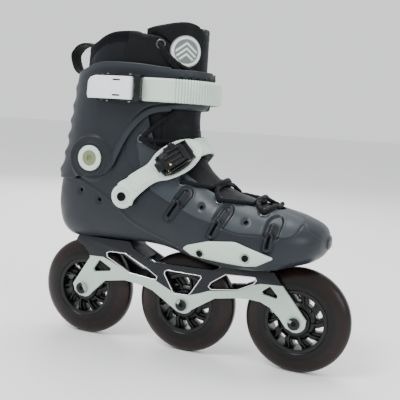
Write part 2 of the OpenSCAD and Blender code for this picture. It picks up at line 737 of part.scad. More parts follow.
module cuff_buckle_base() color(black) difference() {
    union() {
        translate([-97, base_y, buckle_z0]) cube([50, 1, buckle_z1 - buckle_z0]);
        for (z = [buckle_z0, buckle_z1 - cheek_t])
            translate([0, 0, z]) linear_extrude(cheek_t)
                polygon([[-90, base_y + 1], [-46, base_y + 1], [-42, base_y - 1], [-42, -57], [-47, -62.6],
                    [-60, -62.6], [-66, -59.5], [-74, -59.5], [-78, -61], [-84, -61], [-90, -55]]);
        translate([-45.6, -57.4, buckle_z0]) cube([3.6, 2.4, buckle_z1 - buckle_z0]);
    }
    for (x = base_rivet_x)
        pin_y(x, 280.5, 1.85, -60, -40);
    cuff_bar(lever_pin, 1.6 + fit, 250, 310);
    cuff_bar(catch_pin, 1.2 + fit, 250, 310);
}

module cuff_buckle_pins() color(steel) {
    cuff_bar(lever_pin, 1.6, buckle_z0 - 0.6, buckle_z1 + 0.6);
    cuff_bar(catch_pin, 1.2, buckle_z0 - 0.6, buckle_z1 + 0.6);
}

lever_outline = [[-99, 268.5], [-102, 269.3], [-104, 273], [-102, 286], [-98.5, 290.2], [-91, 292.2], [-40, 292.5],
    [-40, 268.5]];
module cuff_lever() color(pale) {
    z0 = buckle_z0 + cheek_t + 0.4;
    z1 = buckle_z1 - cheek_t - 0.4;
    difference() {
        union() {
            cuff_bar(lever_pin, 4, z0, z1);
            intersection() {
                translate([0, 0, z0]) linear_extrude(z1 - z0)
                    polygon([[-54, -63.2], [-54, -61.4], [-75, -62], [-92, -60.8], [-100, -58.4], [-104.5, -54.8],
                        [-106, -56.2], [-101.5, -60.6], [-93, -63.1], [-75, -64.2]]);
                slab(lever_outline);
            }
        }
        cuff_bar(lever_pin, 1.65, 200, 400);
        for (z = [z0 + 3, z1 - 4.6])
            translate([-72, -70, z]) cube([9, 20, 1.6]);
    }
}

module cuff_catch() color(black) difference() {
    union() {
        cuff_bar(catch_pin, 2.4, buckle_z0 + 5, buckle_z1 - 5);
        translate([0, 0, buckle_z0 + 5]) linear_extrude(buckle_z1 - buckle_z0 - 10)
            polygon([[-79, -60.2], [-70.5, -56], [-71, -54.9], [-72.5, -54.9], [-80, -56]]);
        translate([0, 0, buckle_z0 + 8]) linear_extrude(buckle_z1 - buckle_z0 - 16)
            polygon([[-80, -60.3], [-87, -59.6], [-87, -58.6], [-80, -57.3]]);
    }
    cuff_bar(catch_pin, 1.25, 200, 400);
}

module cuff_catch_spring() color(steel) {
    translate([0, 0, 278]) linear_extrude(5)
        polygon([[-89, base_y - 0.1], [-88, base_y - 0.1], [-84.6, -56.2], [-85, -56.5]]);
}

shell();
liner_boot();
tongue_lower();
footbed();
heel_pad();
slider(-1);  // slider_lateral
slider(1);  // slider_medial
slider_screws();
frame();
frame_bolts();
frame_washers();
axle_bolts();
bearing_inner_rings();
bearing_spacers();
shell_eyelets();
laces();
strap_arm();
strap_ladder();
strap_screws();
strap_buckle_base();
strap_buckle_pins();
strap_lever();
strap_release();
cuff_pivot_bolts();
cuff_pivot_nuts();
cuff_pivot_caps();
cuff();
liner_collar();
tongue_upper();
tongue_badge();
collar_eyelets();
pull_loop();
pull_tip();
cuff_strap();
cuff_rivets();
cuff_buckle_base();
cuff_buckle_pins();
cuff_catch_spring();
cuff_lever();
cuff_catch();
for (i = [0:2]) {
    place = ["rear", "mid", "front"][i];
    tyre(i);
    hub(i);
    bearing_rings(i);
    bearing_balls(i);
    bearing_shields(i);
}
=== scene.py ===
import math

import bmesh
import bpy
import numpy as np
from mathutils import Matrix, Vector


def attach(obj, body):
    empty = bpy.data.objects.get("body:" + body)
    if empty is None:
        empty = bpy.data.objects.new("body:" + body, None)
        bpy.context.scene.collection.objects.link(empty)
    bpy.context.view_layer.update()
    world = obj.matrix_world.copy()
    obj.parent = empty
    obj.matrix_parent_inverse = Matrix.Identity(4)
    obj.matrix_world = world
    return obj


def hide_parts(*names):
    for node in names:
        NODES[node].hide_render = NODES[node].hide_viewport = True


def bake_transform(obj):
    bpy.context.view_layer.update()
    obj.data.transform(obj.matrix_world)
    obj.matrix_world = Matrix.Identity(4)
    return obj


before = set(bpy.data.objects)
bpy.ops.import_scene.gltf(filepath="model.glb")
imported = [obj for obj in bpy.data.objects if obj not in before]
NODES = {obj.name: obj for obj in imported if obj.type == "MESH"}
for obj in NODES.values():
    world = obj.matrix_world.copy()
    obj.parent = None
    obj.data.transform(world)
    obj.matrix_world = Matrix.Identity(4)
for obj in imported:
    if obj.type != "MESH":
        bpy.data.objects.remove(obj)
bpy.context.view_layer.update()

MM = 0.001
SHARP = 35  # degrees: an edge sharper than this stays an edge

# ---------------------------------------------------------------- boot surface
# outer x, outer z, inner x, inner z, half width, centre y, outer and inner roundness, widest point
ROWS = np.array([
    [147, 130, 147, 145, 12, 9, 2.4, 2.2, 0.50], [142.5, 123, 142.5, 153, 26, 8, 2.6, 2.2, 0.52],
    [133, 117, 133, 159, 37, 6, 3.0, 2.2, 0.55], [117, 112, 117, 164.5, 45, 4, 3.2, 2.2, 0.58],
    [95, 106, 95, 170, 49.5, 1.5, 3.2, 2.2, 0.60], [68, 104, 68, 177, 51, -0.5, 3.2, 2.2, 0.60],
    [40, 104.5, 38, 188.5, 49.5, -1.5, 3.2, 2.1, 0.60], [12, 109, 20, 202, 46, -1.5, 3.2, 2.0, 0.60],
    [-20, 116, 10, 216, 43, -1, 3.2, 1.9, 0.58], [-58, 117.5, 5, 228, 41.5, -0.5, 3.0, 1.9, 0.55],
    [-98, 116, 4, 238, 41.5, 0, 2.8, 2.0, 0.52], [-134, 114, 4, 246, 41.5, 0, 2.7, 2.1, 0.50],
    [-152, 122.5, 4, 252, 42, 0, 2.5, 2.2, 0.50], [-160, 141, 4, 258, 43, 0, 2.3, 2.2, 0.50],
    [-161, 163, 4.5, 263, 43.5, 0, 2.2, 2.2, 0.50], [-156.5, 188, 5, 269, 44, 0, 2.2, 2.2, 0.50],
    [-149.5, 215, 5.5, 275, 44, 0, 2.2, 2.2, 0.50], [-145, 245, 6.5, 283, 44, 0, 2.2, 2.2, 0.50],
    [-141.5, 272, 8, 293, 44.2, 0, 2.2, 2.2, 0.50], [-138, 300, 9, 304, 44.6, 0, 2.2, 2.2, 0.50],
    [-136, 330, 9, 335, 45, 0, 2.2, 2.2, 0.50], [-134, 358, 9, 360, 45, 0, 2.2, 2.2, 0.50],
    [-133, 380, 9, 382, 45, 0, 2.2, 2.2, 0.50]])
EYELETS = [(4.31, 36.6), (5.86, 44), (8.08, 57.9), (13.81, 69.8)]
PIVOT = (-102, 206)


def section(s):
    s = np.asarray(s, float)
    i = np.clip(np.floor(s).astype(int), 0, len(ROWS) - 2)
    f = (s - i)[..., None]
    a, b, c, d = (ROWS[np.clip(i + k, 0, len(ROWS) - 1)] for k in (-1, 0, 1, 2))
    return 0.5 * (2 * b + (c - a) * f + (2 * a - 5 * b + 4 * c - d) * f * f + (3 * b - a - 3 * c + d) * f ** 3)


def place(s, cx, sy, d):
    """Point of section s at the unit superellipse coordinates cx (along) and sy (across), moved out by d."""
    r = section(s)
    inner, across = r[..., 2:4], r[..., 0:2] - r[..., 2:4]
    size = np.linalg.norm(across, axis=-1)
    along = across / size[..., None]
    half = np.where(cx >= 0, size * r[..., 8], size * (1 - r[..., 8])) + d
    p = inner + along * (size * r[..., 8] - cx * half)[..., None]
    return np.stack([p[..., 0], r[..., 5] + sy * (r[..., 4] + d), p[..., 1]], -1)


def skin(s, t, d=0.0):
    """The boot surface by section and angle, as the CAD source defines it."""
    s, t, d = np.broadcast_arrays(np.asarray(s, float), np.radians(np.asarray(t, float)), np.asarray(d, float))
    r = section(s)
    c, q = np.cos(t), np.sin(t)
    n = np.where(c >= 0, r[..., 7], r[..., 6])
    bend = lambda v: np.sign(v) * np.abs(v) ** (2 / n)
    return place(s, bend(c), bend(q), d)


def surf(s, a, d=0.0):
    """The same surface with an evenly spread angle a; s below 0 closes the toe."""
    s, a, d = np.broadcast_arrays(np.asarray(s, float), np.radians(np.asarray(a, float)), np.asarray(d, float))
    nose = np.clip(-s, 0, 1)
    sc = np.maximum(s, 0)
    r = section(sc)
    c, q = np.cos(a), np.sin(a)
    n = np.where(c >= 0, r[..., 7], r[..., 6])
    rho = (np.abs(c) ** n + np.abs(q) ** n) ** (-1 / n)
    p = place(sc, c * rho, q * rho, d)
    mid = np.array([147.0, 9.0, 137.5])
    shrink = np.sqrt(np.clip(1 - nose ** 2, 0, 1))[..., None]
    closed = mid + (p - mid) * shrink
    closed[..., 0] += (3 + d) * nose
    return np.where((s < 0)[..., None], closed, p)


def outward(s, t):
    n = np.cross(skin(s, t + 1) - skin(s, t - 1), skin(s + 0.05, t) - skin(s - 0.05, t))
    return n / np.linalg.norm(n, axis=-1, keepdims=True)


def on_skin(s, t, d=0.0):
    """Matrix whose Z axis stands on the boot surface, in mm."""
    n = Vector(outward(s, t))
    turn = Matrix.Rotation(math.atan2(n.y, n.x), 4, "Z") @ Matrix.Rotation(math.acos(n.z), 4, "Y")
    return Matrix.Translation(Vector(skin(s, t, d))) @ turn


# ---------------------------------------------------------------- 2D helpers
def curve(points, per=8, closed=False):
    """Catmull-Rom curve through the points."""
    p = np.array(points, float)
    n = len(p)
    out = []
    for i in range(n if closed else n - 1):
        if closed:
            a, b, c, d = (p[(i + k) % n] for k in (-1, 0, 1, 2))
        else:
            a, b, c, d = (p[max(0, min(n - 1, i + k))] for k in (-1, 0, 1, 2))
        for k in range(per):
            f = k / per
            out.append(0.5 * (2 * b + (c - a) * f + (2 * a - 5 * b + 4 * c - d) * f * f
                              + (3 * b - a - 3 * c + d) * f ** 3))
    if not closed:
        out.append(p[-1])
    return np.array(out)


def line_z(points, x, per=8):
    q = curve(points, per)
    q = q[np.argsort(q[:, 0])]
    return np.interp(x, q[:, 0], q[:, 1])


def near(points, x, z):
    """Distance from (x, z) to a polyline and how far along it, from 0 to 1."""
    q = np.array(points, float)
    best = np.full(np.shape(x), 1e9)
    part = np.zeros(np.shape(x))
    run = np.concatenate([[0], np.cumsum(np.linalg.norm(np.diff(q, axis=0), axis=1))])
    for i in range(len(q) - 1):
        a, e = q[i], q[i + 1] - q[i]
        length = max(float(np.hypot(*e)), 1e-9)
        f = np.clip(((x - a[0]) * e[0] + (z - a[1]) * e[1]) / length ** 2, 0, 1)
        dist = np.hypot(x - a[0] - f * e[0], z - a[1] - f * e[1])
        part = np.where(dist < best, (run[i] + f * length) / run[-1], part)
        best = np.minimum(best, dist)
    return best, part


def inside(points, x, z):
    """Signed distance to a closed outline, positive inside."""
    q = np.array(points, float)
    d, _ = near(np.vstack([q, q[:1]]), x, z)
    hit = np.zeros(np.shape(x), bool)
    for (x0, z0), (x1, z1) in zip(q, np.roll(q, -1, axis=0)):
        cross = (z0 > z) != (z1 > z)
        at = x0 + (z - z0) * (x1 - x0) / (z1 - z0 if z1 != z0 else 1e-9)
        hit ^= cross & (x < at)
    return np.where(hit, d, -d)


def step(v, a, b):
    f = np.clip((v - a) / (b - a), 0, 1)
    return f * f * (3 - 2 * f)


def bump(v, width):
    return np.exp(-(v / width) ** 2)


# ---------------------------------------------------------------- meshes
def make(name, verts, faces, mats, index=None, tone=None, uv=None, smooth=True):
    """A mesh object from mm coordinates. faces is a list of arrays, one for each number of corners."""
    mesh = bpy.data.meshes.new(name)
    faces = [np.asarray(f, np.int32) for f in faces if len(f)]
    loops = np.concatenate([f.ravel() for f in faces])
    counts = np.concatenate([np.full(len(f), f.shape[1]) for f in faces])
    mesh.vertices.add(len(verts))
    mesh.vertices.foreach_set("co", (np.asarray(verts) * MM).astype(np.float32).ravel())
    mesh.loops.add(len(loops))
    mesh.loops.foreach_set("vertex_index", loops.astype(np.int32))
    mesh.polygons.add(len(counts))
    mesh.polygons.foreach_set("loop_start", np.concatenate([[0], np.cumsum(counts)[:-1]]).astype(np.int32))
    mesh.polygons.foreach_set("loop_total", counts.astype(np.int32))
    if index is not None:
        mesh.polygons.foreach_set("material_index", np.asarray(index, np.int32))
    mesh.polygons.foreach_set("use_smooth", np.full(len(counts), smooth))
    mesh.update(calc_edges=True)
    mesh.validate()
    if tone is not None:
        at = mesh.attributes.new("tone", "FLOAT", "POINT")
        at.data.foreach_set("value", np.asarray(tone, np.float32))
    if uv is not None:
        layer = mesh.uv_layers.new(name="UVMap")
        layer.data.foreach_set("uv", np.asarray(uv, np.float32)[loops].ravel())
    for m in mats if isinstance(mats, (list, tuple)) else [mats]:
        mesh.materials.append(m)
    obj = bpy.data.objects.new(name, mesh)
    bpy.context.collection.objects.link(obj)
    return obj


def clip(par, tris, value):
    """Keeps the part of a triangle mesh, in parameter space, where value is positive."""
    keep = value > 0
    k = keep[tris]
    whole = tris[k.all(1)]
    mixed = tris[k.any(1) & ~k.all(1)]
    new_par, cache, out = [], {}, []

    def cut(a, b):
        key = (min(a, b), max(a, b))
        if key not in cache:
            f = min(max(value[a] / (value[a] - value[b]), 0.02), 0.98)
            cache[key] = len(par) + len(new_par)
            new_par.append(par[a] + (par[b] - par[a]) * f)
        return cache[key]

    for tri in mixed:
        poly = []
        for i in range(3):
            a, b = int(tri[i]), int(tri[(i + 1) % 3])
            if keep[a]:
                poly.append(a)
            if keep[a] != keep[b]:
                poly.append(cut(a, b))
        for i in range(1, len(poly) - 1):
            out.append((poly[0], poly[i], poly[i + 1]))
    par = np.vstack([par, np.array(new_par)]) if new_par else par
    tris = np.vstack([whole, np.array(out, int)]) if out else whole
    return par, tris


def used(par, tris):
    ids, back = np.unique(tris, return_inverse=True)
    return par[ids], back.reshape(tris.shape)


def weld(points, tris, *more):
    key = np.round(points, 3)
    _, first, back = np.unique(key, axis=0, return_index=True, return_inverse=True)
    tris = back.ravel()[tris]
    good = (tris[:, 0] != tris[:, 1]) & (tris[:, 1] != tris[:, 2]) & (tris[:, 0] != tris[:, 2])
    return [points[first], tris[good]] + [m[first] for m in more]


def patch(us, vs):
    """Parameter grid as triangles."""
    u, v = np.meshgrid(us, vs, indexing="ij")
    par = np.stack([u.ravel(), v.ravel()], 1)
    n, m = len(us), len(vs)
    i, j = np.meshgrid(np.arange(n - 1), np.arange(m - 1), indexing="ij")
    a = (i * m + j).ravel()
    b, c, d = a + m, a + m + 1, a + 1
    return par, np.concatenate([np.stack([a, b, c], 1), np.stack([a, c, d], 1)])


def thick(name, par, tris, outer, inner, mats, tone=None, round_=0.7, rings=4, region=None, flip=False):
    """A closed wall between two surfaces over the same clipped parameter mesh, with a rounded rim."""
    par, tris = used(par, tris)
    top = outer(par)
    top, tris, par = weld(top, tris, par)
    low = inner(par)
    if flip:
        tris = tris[:, ::-1]
    n = len(par)
    e = np.concatenate([tris[:, [0, 1]], tris[:, [1, 2]], tris[:, [2, 0]]])
    code = e[:, 0] * n + e[:, 1]
    rim = e[~np.isin(e[:, 1] * n + e[:, 0], code)]
    normal = top - low
    height = np.linalg.norm(normal, axis=1, keepdims=True)
    normal = normal / np.maximum(height, 1e-6)
    out = np.zeros_like(top)
    d = top[rim[:, 1]] - top[rim[:, 0]]
    o = np.cross(d, normal[rim[:, 0]])
    np.add.at(out, rim[:, 0], o)
    np.add.at(out, rim[:, 1], o)
    ids, back = np.unique(rim, return_inverse=True)
    back = back.reshape(rim.shape)
    o = out[ids]
    o = o / np.maximum(np.linalg.norm(o, axis=1, keepdims=True), 1e-9)
    mid, h, nn = (top[ids] + low[ids]) / 2, height[ids] / 2, normal[ids]
    verts, faces3, faces4 = [top, low], [tris, tris[:, ::-1] + n], []
    base = 2 * n
    layers = [ids]
    for k in range(1, rings):
        f = math.pi * k / rings
        verts.append(mid + nn * h * math.cos(f) + o * np.minimum(h, 1.6) * round_ * math.sin(f))
        layers.append(np.arange(len(ids)) + base)
        base += len(ids)
    layers.append(ids + n)
    for a, b in zip(layers, layers[1:]):
        faces4.append(np.stack([a[back[:, 1]], a[back[:, 0]], b[back[:, 0]], b[back[:, 1]]], 1))
    quads = np.concatenate(faces4)
    t = None
    if tone is not None:
        t = tone(par)
        t = np.concatenate([t, t] + [t[ids]] * (rings - 1))
    index = None
    if region is not None:
        r = region(par)
        tri_r = np.round(r[tris].mean(1)).astype(int)
        rim_r = np.round(r[rim].mean(1)).astype(int)
        index = np.concatenate([tri_r, tri_r] + [rim_r] * rings)
    return make(name, np.vstack(verts), [np.concatenate(faces3), quads], mats, index=index, tone=t)


def tube(name, path, radius, mats, sides=12, closed=False, up=None):
    """A tube with UVs along a path in mm, closed into a loop or capped at its ends."""
    p = np.array(path, float)
    n = len(p)
    tangent = np.gradient(p, axis=0)
    if closed:
        tangent = np.roll(p, -1, axis=0) - np.roll(p, 1, axis=0)
    tangent /= np.linalg.norm(tangent, axis=1, keepdims=True)
    if up is None:
        up = np.tile([0.0, 0.0, 1.0], (n, 1))
    side = np.cross(tangent, up)
    side /= np.maximum(np.linalg.norm(side, axis=1, keepdims=True), 1e-9)
    lift = np.cross(side, tangent)
    r = np.broadcast_to(np.asarray(radius, float), (n,))
    ang = np.linspace(0, 2 * math.pi, sides, endpoint=False)
    circle = side[:, None] * np.cos(ang)[None, :, None] + lift[:, None] * np.sin(ang)[None, :, None]
    verts = (p[:, None] + circle * r[:, None, None]).reshape(-1, 3)
    run = np.concatenate([[0], np.cumsum(np.linalg.norm(np.diff(p, axis=0), axis=1))])
    uv = np.stack([np.repeat(run, sides), np.tile(np.arange(sides) / sides, n)], 1)
    quads = []
    j = np.arange(sides)
    k = (j + 1) % sides
    for i in range(n if closed else n - 1):
        a, b = i * sides, ((i + 1) % n) * sides
        quads.append(np.stack([a + j, a + k, b + k, b + j], 1))
    faces = [np.concatenate(quads)]
    if not closed:
        verts = np.vstack([verts, p[0], p[-1]])
        uv = np.vstack([uv, [run[0], 0.5], [run[-1], 0.5]])
        c0, c1 = len(verts) - 2, len(verts) - 1
        faces.append(np.concatenate([np.stack([np.full(sides, c0), k, j], 1),
                                     np.stack([np.full(sides, c1), (n - 1) * sides + j, (n - 1) * sides + k], 1)]))
    return make(name, verts, faces, mats, uv=uv)


def lathe(name, profile, centre, mats, sides=96, axis="y", tone=None):
    """A turned piece: profile of (radius, along axis) points about an axis through centre, in mm."""
    p = np.array(profile, float)
    m = len(p)
    ang = np.linspace(0, 2 * math.pi, sides, endpoint=False)
    rad = p[None, :, 0] * np.cos(ang)[:, None]
    rad2 = p[None, :, 0] * np.sin(ang)[:, None]
    along = np.broadcast_to(p[None, :, 1], rad.shape)
    xyz = np.stack([rad, along, rad2] if axis == "y" else [rad, rad2, along], -1).reshape(-1, 3) + np.array(centre)
    i, j = np.meshgrid(np.arange(sides), np.arange(m), indexing="ij")
    a = (i * m + j).ravel()
    b = (((i + 1) % sides) * m + j).ravel()
    c = (((i + 1) % sides) * m + (j + 1) % m).ravel()
    d = (i * m + (j + 1) % m).ravel()
    quads = np.stack([a, b, c, d], 1)
    area = sum(p[k][0] * p[(k + 1) % m][1] - p[(k + 1) % m][0] * p[k][1] for k in range(m))
    if (area > 0) == (axis == "y"):
        quads = quads[:, ::-1]
    t = None if tone is None else np.tile(np.asarray(tone, float), sides)
    return make(name, xyz, [quads], mats, tone=t)


def bevelled(obj, bevel, angle, bevel_material=None):
    """Rounds a piece's edges that are sharper than angle, in degrees."""
    bpy.context.view_layer.objects.active = obj
    m = obj.modifiers.new("bevel", "BEVEL")
    m.width = bevel * MM
    m.segments = 2
    m.limit_method = "ANGLE"
    m.angle_limit = math.radians(angle)
    m.harden_normals = False
    m.use_clamp_overlap = True
    if bevel_material is not None:
        m.material = bevel_material
    deps = bpy.context.evaluated_depsgraph_get()
    done = bpy.data.meshes.new_from_object(obj.evaluated_get(deps))
    obj.modifiers.clear()
    obj.data = done
    return obj


def refined(node, mats, bevel, bevel_material=None):
    """A copy of a CAD node with its flat faces joined and its edges rounded."""
    bm = bmesh.new()
    bm.from_mesh(NODES[node].data)
    bmesh.ops.remove_doubles(bm, verts=bm.verts, dist=1e-6)
    bmesh.ops.dissolve_limit(bm, angle_limit=math.radians(1.2), verts=bm.verts, edges=bm.edges)
    for f in bm.faces:
        f.smooth = True
        f.material_index = 0
    for e in bm.edges:
        e.smooth = not (len(e.link_faces) == 2 and e.calc_face_angle(0) > math.radians(SHARP))
    mesh = bpy.data.meshes.new(node)
    bm.to_mesh(mesh)
    bm.free()
    for m in mats if isinstance(mats, (list, tuple)) else [mats]:
        mesh.materials.append(m)
    obj = bpy.data.objects.new("v_" + node, mesh)
    bpy.context.collection.objects.link(obj)
    bevelled(obj, bevel, SHARP, bevel_material)
    for e in obj.data.edges:
        e.use_edge_sharp = False
    obj.data.set_sharp_from_angle(angle=math.radians(SHARP))
    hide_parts(node)
    return obj


def wall(name, us, vs, cut, outer, inner, mats, **options):
    """A closed wall over the grid us by vs, kept where cut is positive."""
    par, tris = patch(us, vs)
    par, tris = clip(par, tris, cut(par))
    return thick(name, par, tris, outer, inner, mats, **options)


FINE = 1.0


def steps(n):
    return int(n / FINE)


# ---------------------------------------------------------------- joined and standing pieces
def stand(obj, matrix):
    """Moves a piece's mesh by a matrix in mm."""
    m = matrix.copy()
    m.translation = m.translation * MM
    obj.data.transform(m)
    return obj


def join(name, objs):
    """Merges pieces that share their materials into one object."""
    bm = bmesh.new()
    for o in objs:
        bm.from_mesh(o.data)
    mesh = bpy.data.meshes.new(name)
    bm.to_mesh(mesh)
    bm.free()
    for m in objs[0].data.materials:
        mesh.materials.append(m)
    out = bpy.data.objects.new(name, mesh)
    bpy.context.collection.objects.link(out)
    for o in objs:
        bpy.data.objects.remove(o)
    return out


def take(obj, body, slot, *nodes):
    """Rides a piece on a body and lets it stand for CAD nodes; slot, its finish, is not used."""
    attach(obj, body)
    if nodes:
        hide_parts(*nodes)
    return obj


def softened(p, times=3):
    """A path with its corners rounded off."""
    for _ in range(times):
        q = p.copy()
        q[1:-1] = (p[:-2] + 2 * p[1:-1] + p[2:]) / 4
        p = q
    return p


def prism(outline, y0, y1, bevel, material):
    """An outline in x, z carried from y0 to y1, with rounded edges."""
    n = len(outline)
    p = np.array(outline, float)
    verts = np.vstack([np.stack([p[:, 0], np.full(n, y), p[:, 1]], 1) for y in (y0, y1)])
    area = float(np.sum(p[:, 0] * np.roll(p[:, 1], -1) - np.roll(p[:, 0], -1) * p[:, 1]))
    front, back = list(range(n)), list(range(n, 2 * n))[::-1]
    sides = [((i + 1) % n, i, i + n, (i + 1) % n + n) for i in range(n)]
    if area < 0:
        front, back, sides = front[::-1], back[::-1], [q[::-1] for q in sides]
    o = make("p", verts, [np.array([front]), np.array([back]), np.array(sides)], material, smooth=False)
    return bevelled(o, bevel, 30)


def shade(obj, angle=40):
    """Smooth shading, apart from edges sharper than angle."""
    obj.data.polygons.foreach_set("use_smooth", np.full(len(obj.data.polygons), True))
    obj.data.set_sharp_from_angle(angle=math.radians(angle))
    return obj


def paint(material, *nodes):
    for n in nodes:
        for s in NODES[n].material_slots:
            s.material = material


# ---------------------------------------------------------------- materials
def srgb(r, g, b):
    def lin(v):
        v = v / 255
        return v / 12.92 if v <= 0.04045 else ((v + 0.055) / 1.055) ** 2.4
    return (lin(r), lin(g), lin(b), 1)


def scaled(colour, k):
    return tuple(c * k for c in colour[:3]) + (1,)


class Mat:
    """A Principled material and short ways to add procedural detail to it."""

    def __init__(self, name, colour, rough=0.5, metal=0.0, **sockets):
        self.m = bpy.data.materials.new(name)
        self.m.use_nodes = True
        self.t = self.m.node_tree
        self.b = self.t.nodes["Principled BSDF"]
        self.b.inputs["Base Color"].default_value = colour
        self.b.inputs["Roughness"].default_value = rough
        self.b.inputs["Metallic"].default_value = metal
        for k, v in sockets.items():
            self.b.inputs[k.replace("_", " ")].default_value = v
        self.colour = self.rgb(colour)
        self.rough = rough
        self.height = None
        self.coord = self.node("ShaderNodeTexCoord").outputs["Object"]

    def node(self, kind, **values):
        n = self.t.nodes.new(kind)
        for k, v in values.items():
            setattr(n, k, v)
        return n

    def link(self, a, b):
        self.t.links.new(a, b)

    def rgb(self, colour):
        n = self.node("ShaderNodeRGB")
        n.outputs[0].default_value = colour
        return n.outputs[0]

    def maths(self, op, a, b=0.0, c=0.0, clamp=False):
        n = self.node("ShaderNodeMath", operation=op, use_clamp=clamp)
        for i, v in enumerate((a, b, c)):
            if isinstance(v, (int, float)):
                n.inputs[i].default_value = v
            else:
                self.link(v, n.inputs[i])
        return n.outputs[0]

    def noise(self, scale, detail=3, rough=0.5):
        n = self.node("ShaderNodeTexNoise")
        n.inputs["Scale"].default_value = scale
        n.inputs["Detail"].default_value = detail
        n.inputs["Roughness"].default_value = rough
        self.link(self.coord, n.inputs["Vector"])
        return n.outputs["Fac"]

    def voronoi(self, scale, feature="F1"):
        n = self.node("ShaderNodeTexVoronoi", feature=feature)
        n.inputs["Scale"].default_value = scale
        self.link(self.coord, n.inputs["Vector"])
        return n.outputs["Distance"]

    def turned(self, *degrees):
        """Object coordinates turned about x, y and z."""
        n = self.node("ShaderNodeMapping")
        n.inputs["Rotation"].default_value = [math.radians(v) for v in degrees]
        self.link(self.coord, n.inputs["Vector"])
        return n.outputs[0]

    def wave(self, pitch, axis, vector):
        """Bands pitch metres apart."""
        n = self.node("ShaderNodeTexWave", wave_type="BANDS", bands_direction=axis, wave_profile="SIN")
        n.inputs["Scale"].default_value = math.pi * 2 / (20 * pitch)
        n.inputs["Distortion"].default_value = 0.0
        self.link(vector, n.inputs["Vector"])
        return n.outputs["Fac"]

    def span(self, v, a, b, lo=0.0, hi=1.0, smooth=False):
        n = self.node("ShaderNodeMapRange", interpolation_type="SMOOTHSTEP" if smooth else "LINEAR")
        n.inputs["From Min"].default_value = a
        n.inputs["From Max"].default_value = b
        n.inputs["To Min"].default_value = lo
        n.inputs["To Max"].default_value = hi
        self.link(v, n.inputs["Value"])
        return n.outputs["Result"]

    def tint(self, fac, colour, amount=1.0):
        """Mixes another colour in by fac."""
        n = self.node("ShaderNodeMix", data_type="RGBA")
        f = self.maths("MULTIPLY", fac, amount, clamp=True)
        self.link(f, n.inputs["Factor"])
        self.link(self.colour, n.inputs[6])
        n.inputs[7].default_value = colour
        self.colour = n.outputs[2]
        return self

    def tone(self):
        """The mesh's tone attribute, from -1 to 1: its own colour tone, and on the shell and cuff also painted shade
        and painted highlights.
        """
        return self.node("ShaderNodeAttribute", attribute_name="tone").outputs["Fac"]

    def roughen(self, fac, lo, hi):
        self.link(self.span(fac, 0.3, 0.7, lo, hi), self.b.inputs["Roughness"])
        return self

    def relief(self, fac, strength, distance):
        """Adds a bump layer: distance in metres."""
        n = self.node("ShaderNodeBump")
        n.inputs["Strength"].default_value = strength
        n.inputs["Distance"].default_value = distance
        self.link(fac, n.inputs["Height"])
        if self.height is not None:
            self.link(self.height, n.inputs["Normal"])
        self.height = n.outputs["Normal"]
        return self

    def axis(self, which):
        n = self.node("ShaderNodeSeparateXYZ")
        self.link(self.coord, n.inputs[0])
        return n.outputs[which]

    def done(self):
        self.link(self.colour, self.b.inputs["Base Color"])
        if self.height is not None:
            self.link(self.height, self.b.inputs["Normal"])
        return self.m


def moulded(name, colour, rough=0.45, tone_colour=None, grain=0.5, **kw):
    """Injection-moulded plastic: fine spark grain, slight flow clouding and scuffs."""
    m = Mat(name, colour, rough, **kw)
    cloud = m.noise(22, 3, 0.6)
    lighter = tuple(min(1, c * 1.16 + 0.004) for c in colour[:3]) + (1,)
    darker = scaled(colour, 0.86)
    m.tint(m.span(cloud, 0.45, 0.75, smooth=True), lighter, 0.7)
    m.tint(m.span(m.noise(90, 4, 0.6), 0.55, 0.8), darker, 0.6)
    if tone_colour is not None:
        # tone_colour is mixed in where tone is positive, which also paints highlights; where tone is negative the
        # colour darkens to 0.3 of itself as painted shade
        m.tint(m.tone(), tone_colour)
        m.tint(m.maths("MULTIPLY", m.tone(), -1.0), scaled(colour, 0.3))
    fine = m.noise(2600, 2, 0.6)
    m.roughen(m.noise(60, 5, 0.65), rough - 0.07, rough + 0.09)
    m.relief(fine, grain, 0.00004)
    m.relief(m.voronoi(1500), grain * 0.35, 0.00003)
    return m.done()


def deep(r, g, b, k=0.34):
    """A dark finish: the named display colour as it needs to be under bright soft light."""
    return scaled(srgb(r, g, b), k)


SLATE, PANEL = deep(52, 64, 76, 0.21), deep(96, 109, 117, 0.25)
M_SHELL = moulded("shell_plastic", SLATE, 0.38, PANEL, Specular_IOR_Level=0.32)
M_CUFF = moulded("cuff_plastic", deep(50, 61, 74, 0.21), 0.42, PANEL, Specular_IOR_Level=0.32)
M_DARKPLASTIC = moulded("black_plastic", deep(24, 26, 30, 0.3), 0.3, grain=0.25, Specular_IOR_Level=0.3)
M_WHITE = moulded("mint_white_plastic", srgb(196, 212, 199), 0.42, grain=0.25, Specular_IOR_Level=0.4,
                  Subsurface_Weight=0.05, Subsurface_Radius=(0.002, 0.002, 0.002))
M_SLIDER = moulded("slider_plastic", srgb(186, 202, 188), 0.55, grain=0.6)
# near-black painted shade for the inside of the axle bolts' sockets
M_SOCKET_SHADE = moulded("painted_socket_shade", deep(20, 22, 26), 0.7, grain=0.3)


def lever_plastic():
    """Lever face: a fine diamond knurl on near-white plastic."""
    m = Mat("lever_plastic", srgb(234, 238, 240), 0.38, Specular_IOR_Level=0.45)
    m.tint(m.span(m.noise(40, 3), 0.5, 0.8), srgb(216, 223, 224), 0.6)
    turn = m.turned(0, 45, 0)
    knurl = m.maths("MULTIPLY", m.wave(0.0016, "X", turn), m.wave(0.0016, "Z", turn))
    m.relief(knurl, 0.7, 0.00018)
    m.relief(m.noise(2400, 2), 0.3, 0.00003)
    m.roughen(m.noise(80, 4), 0.3, 0.46)
    return m.done()


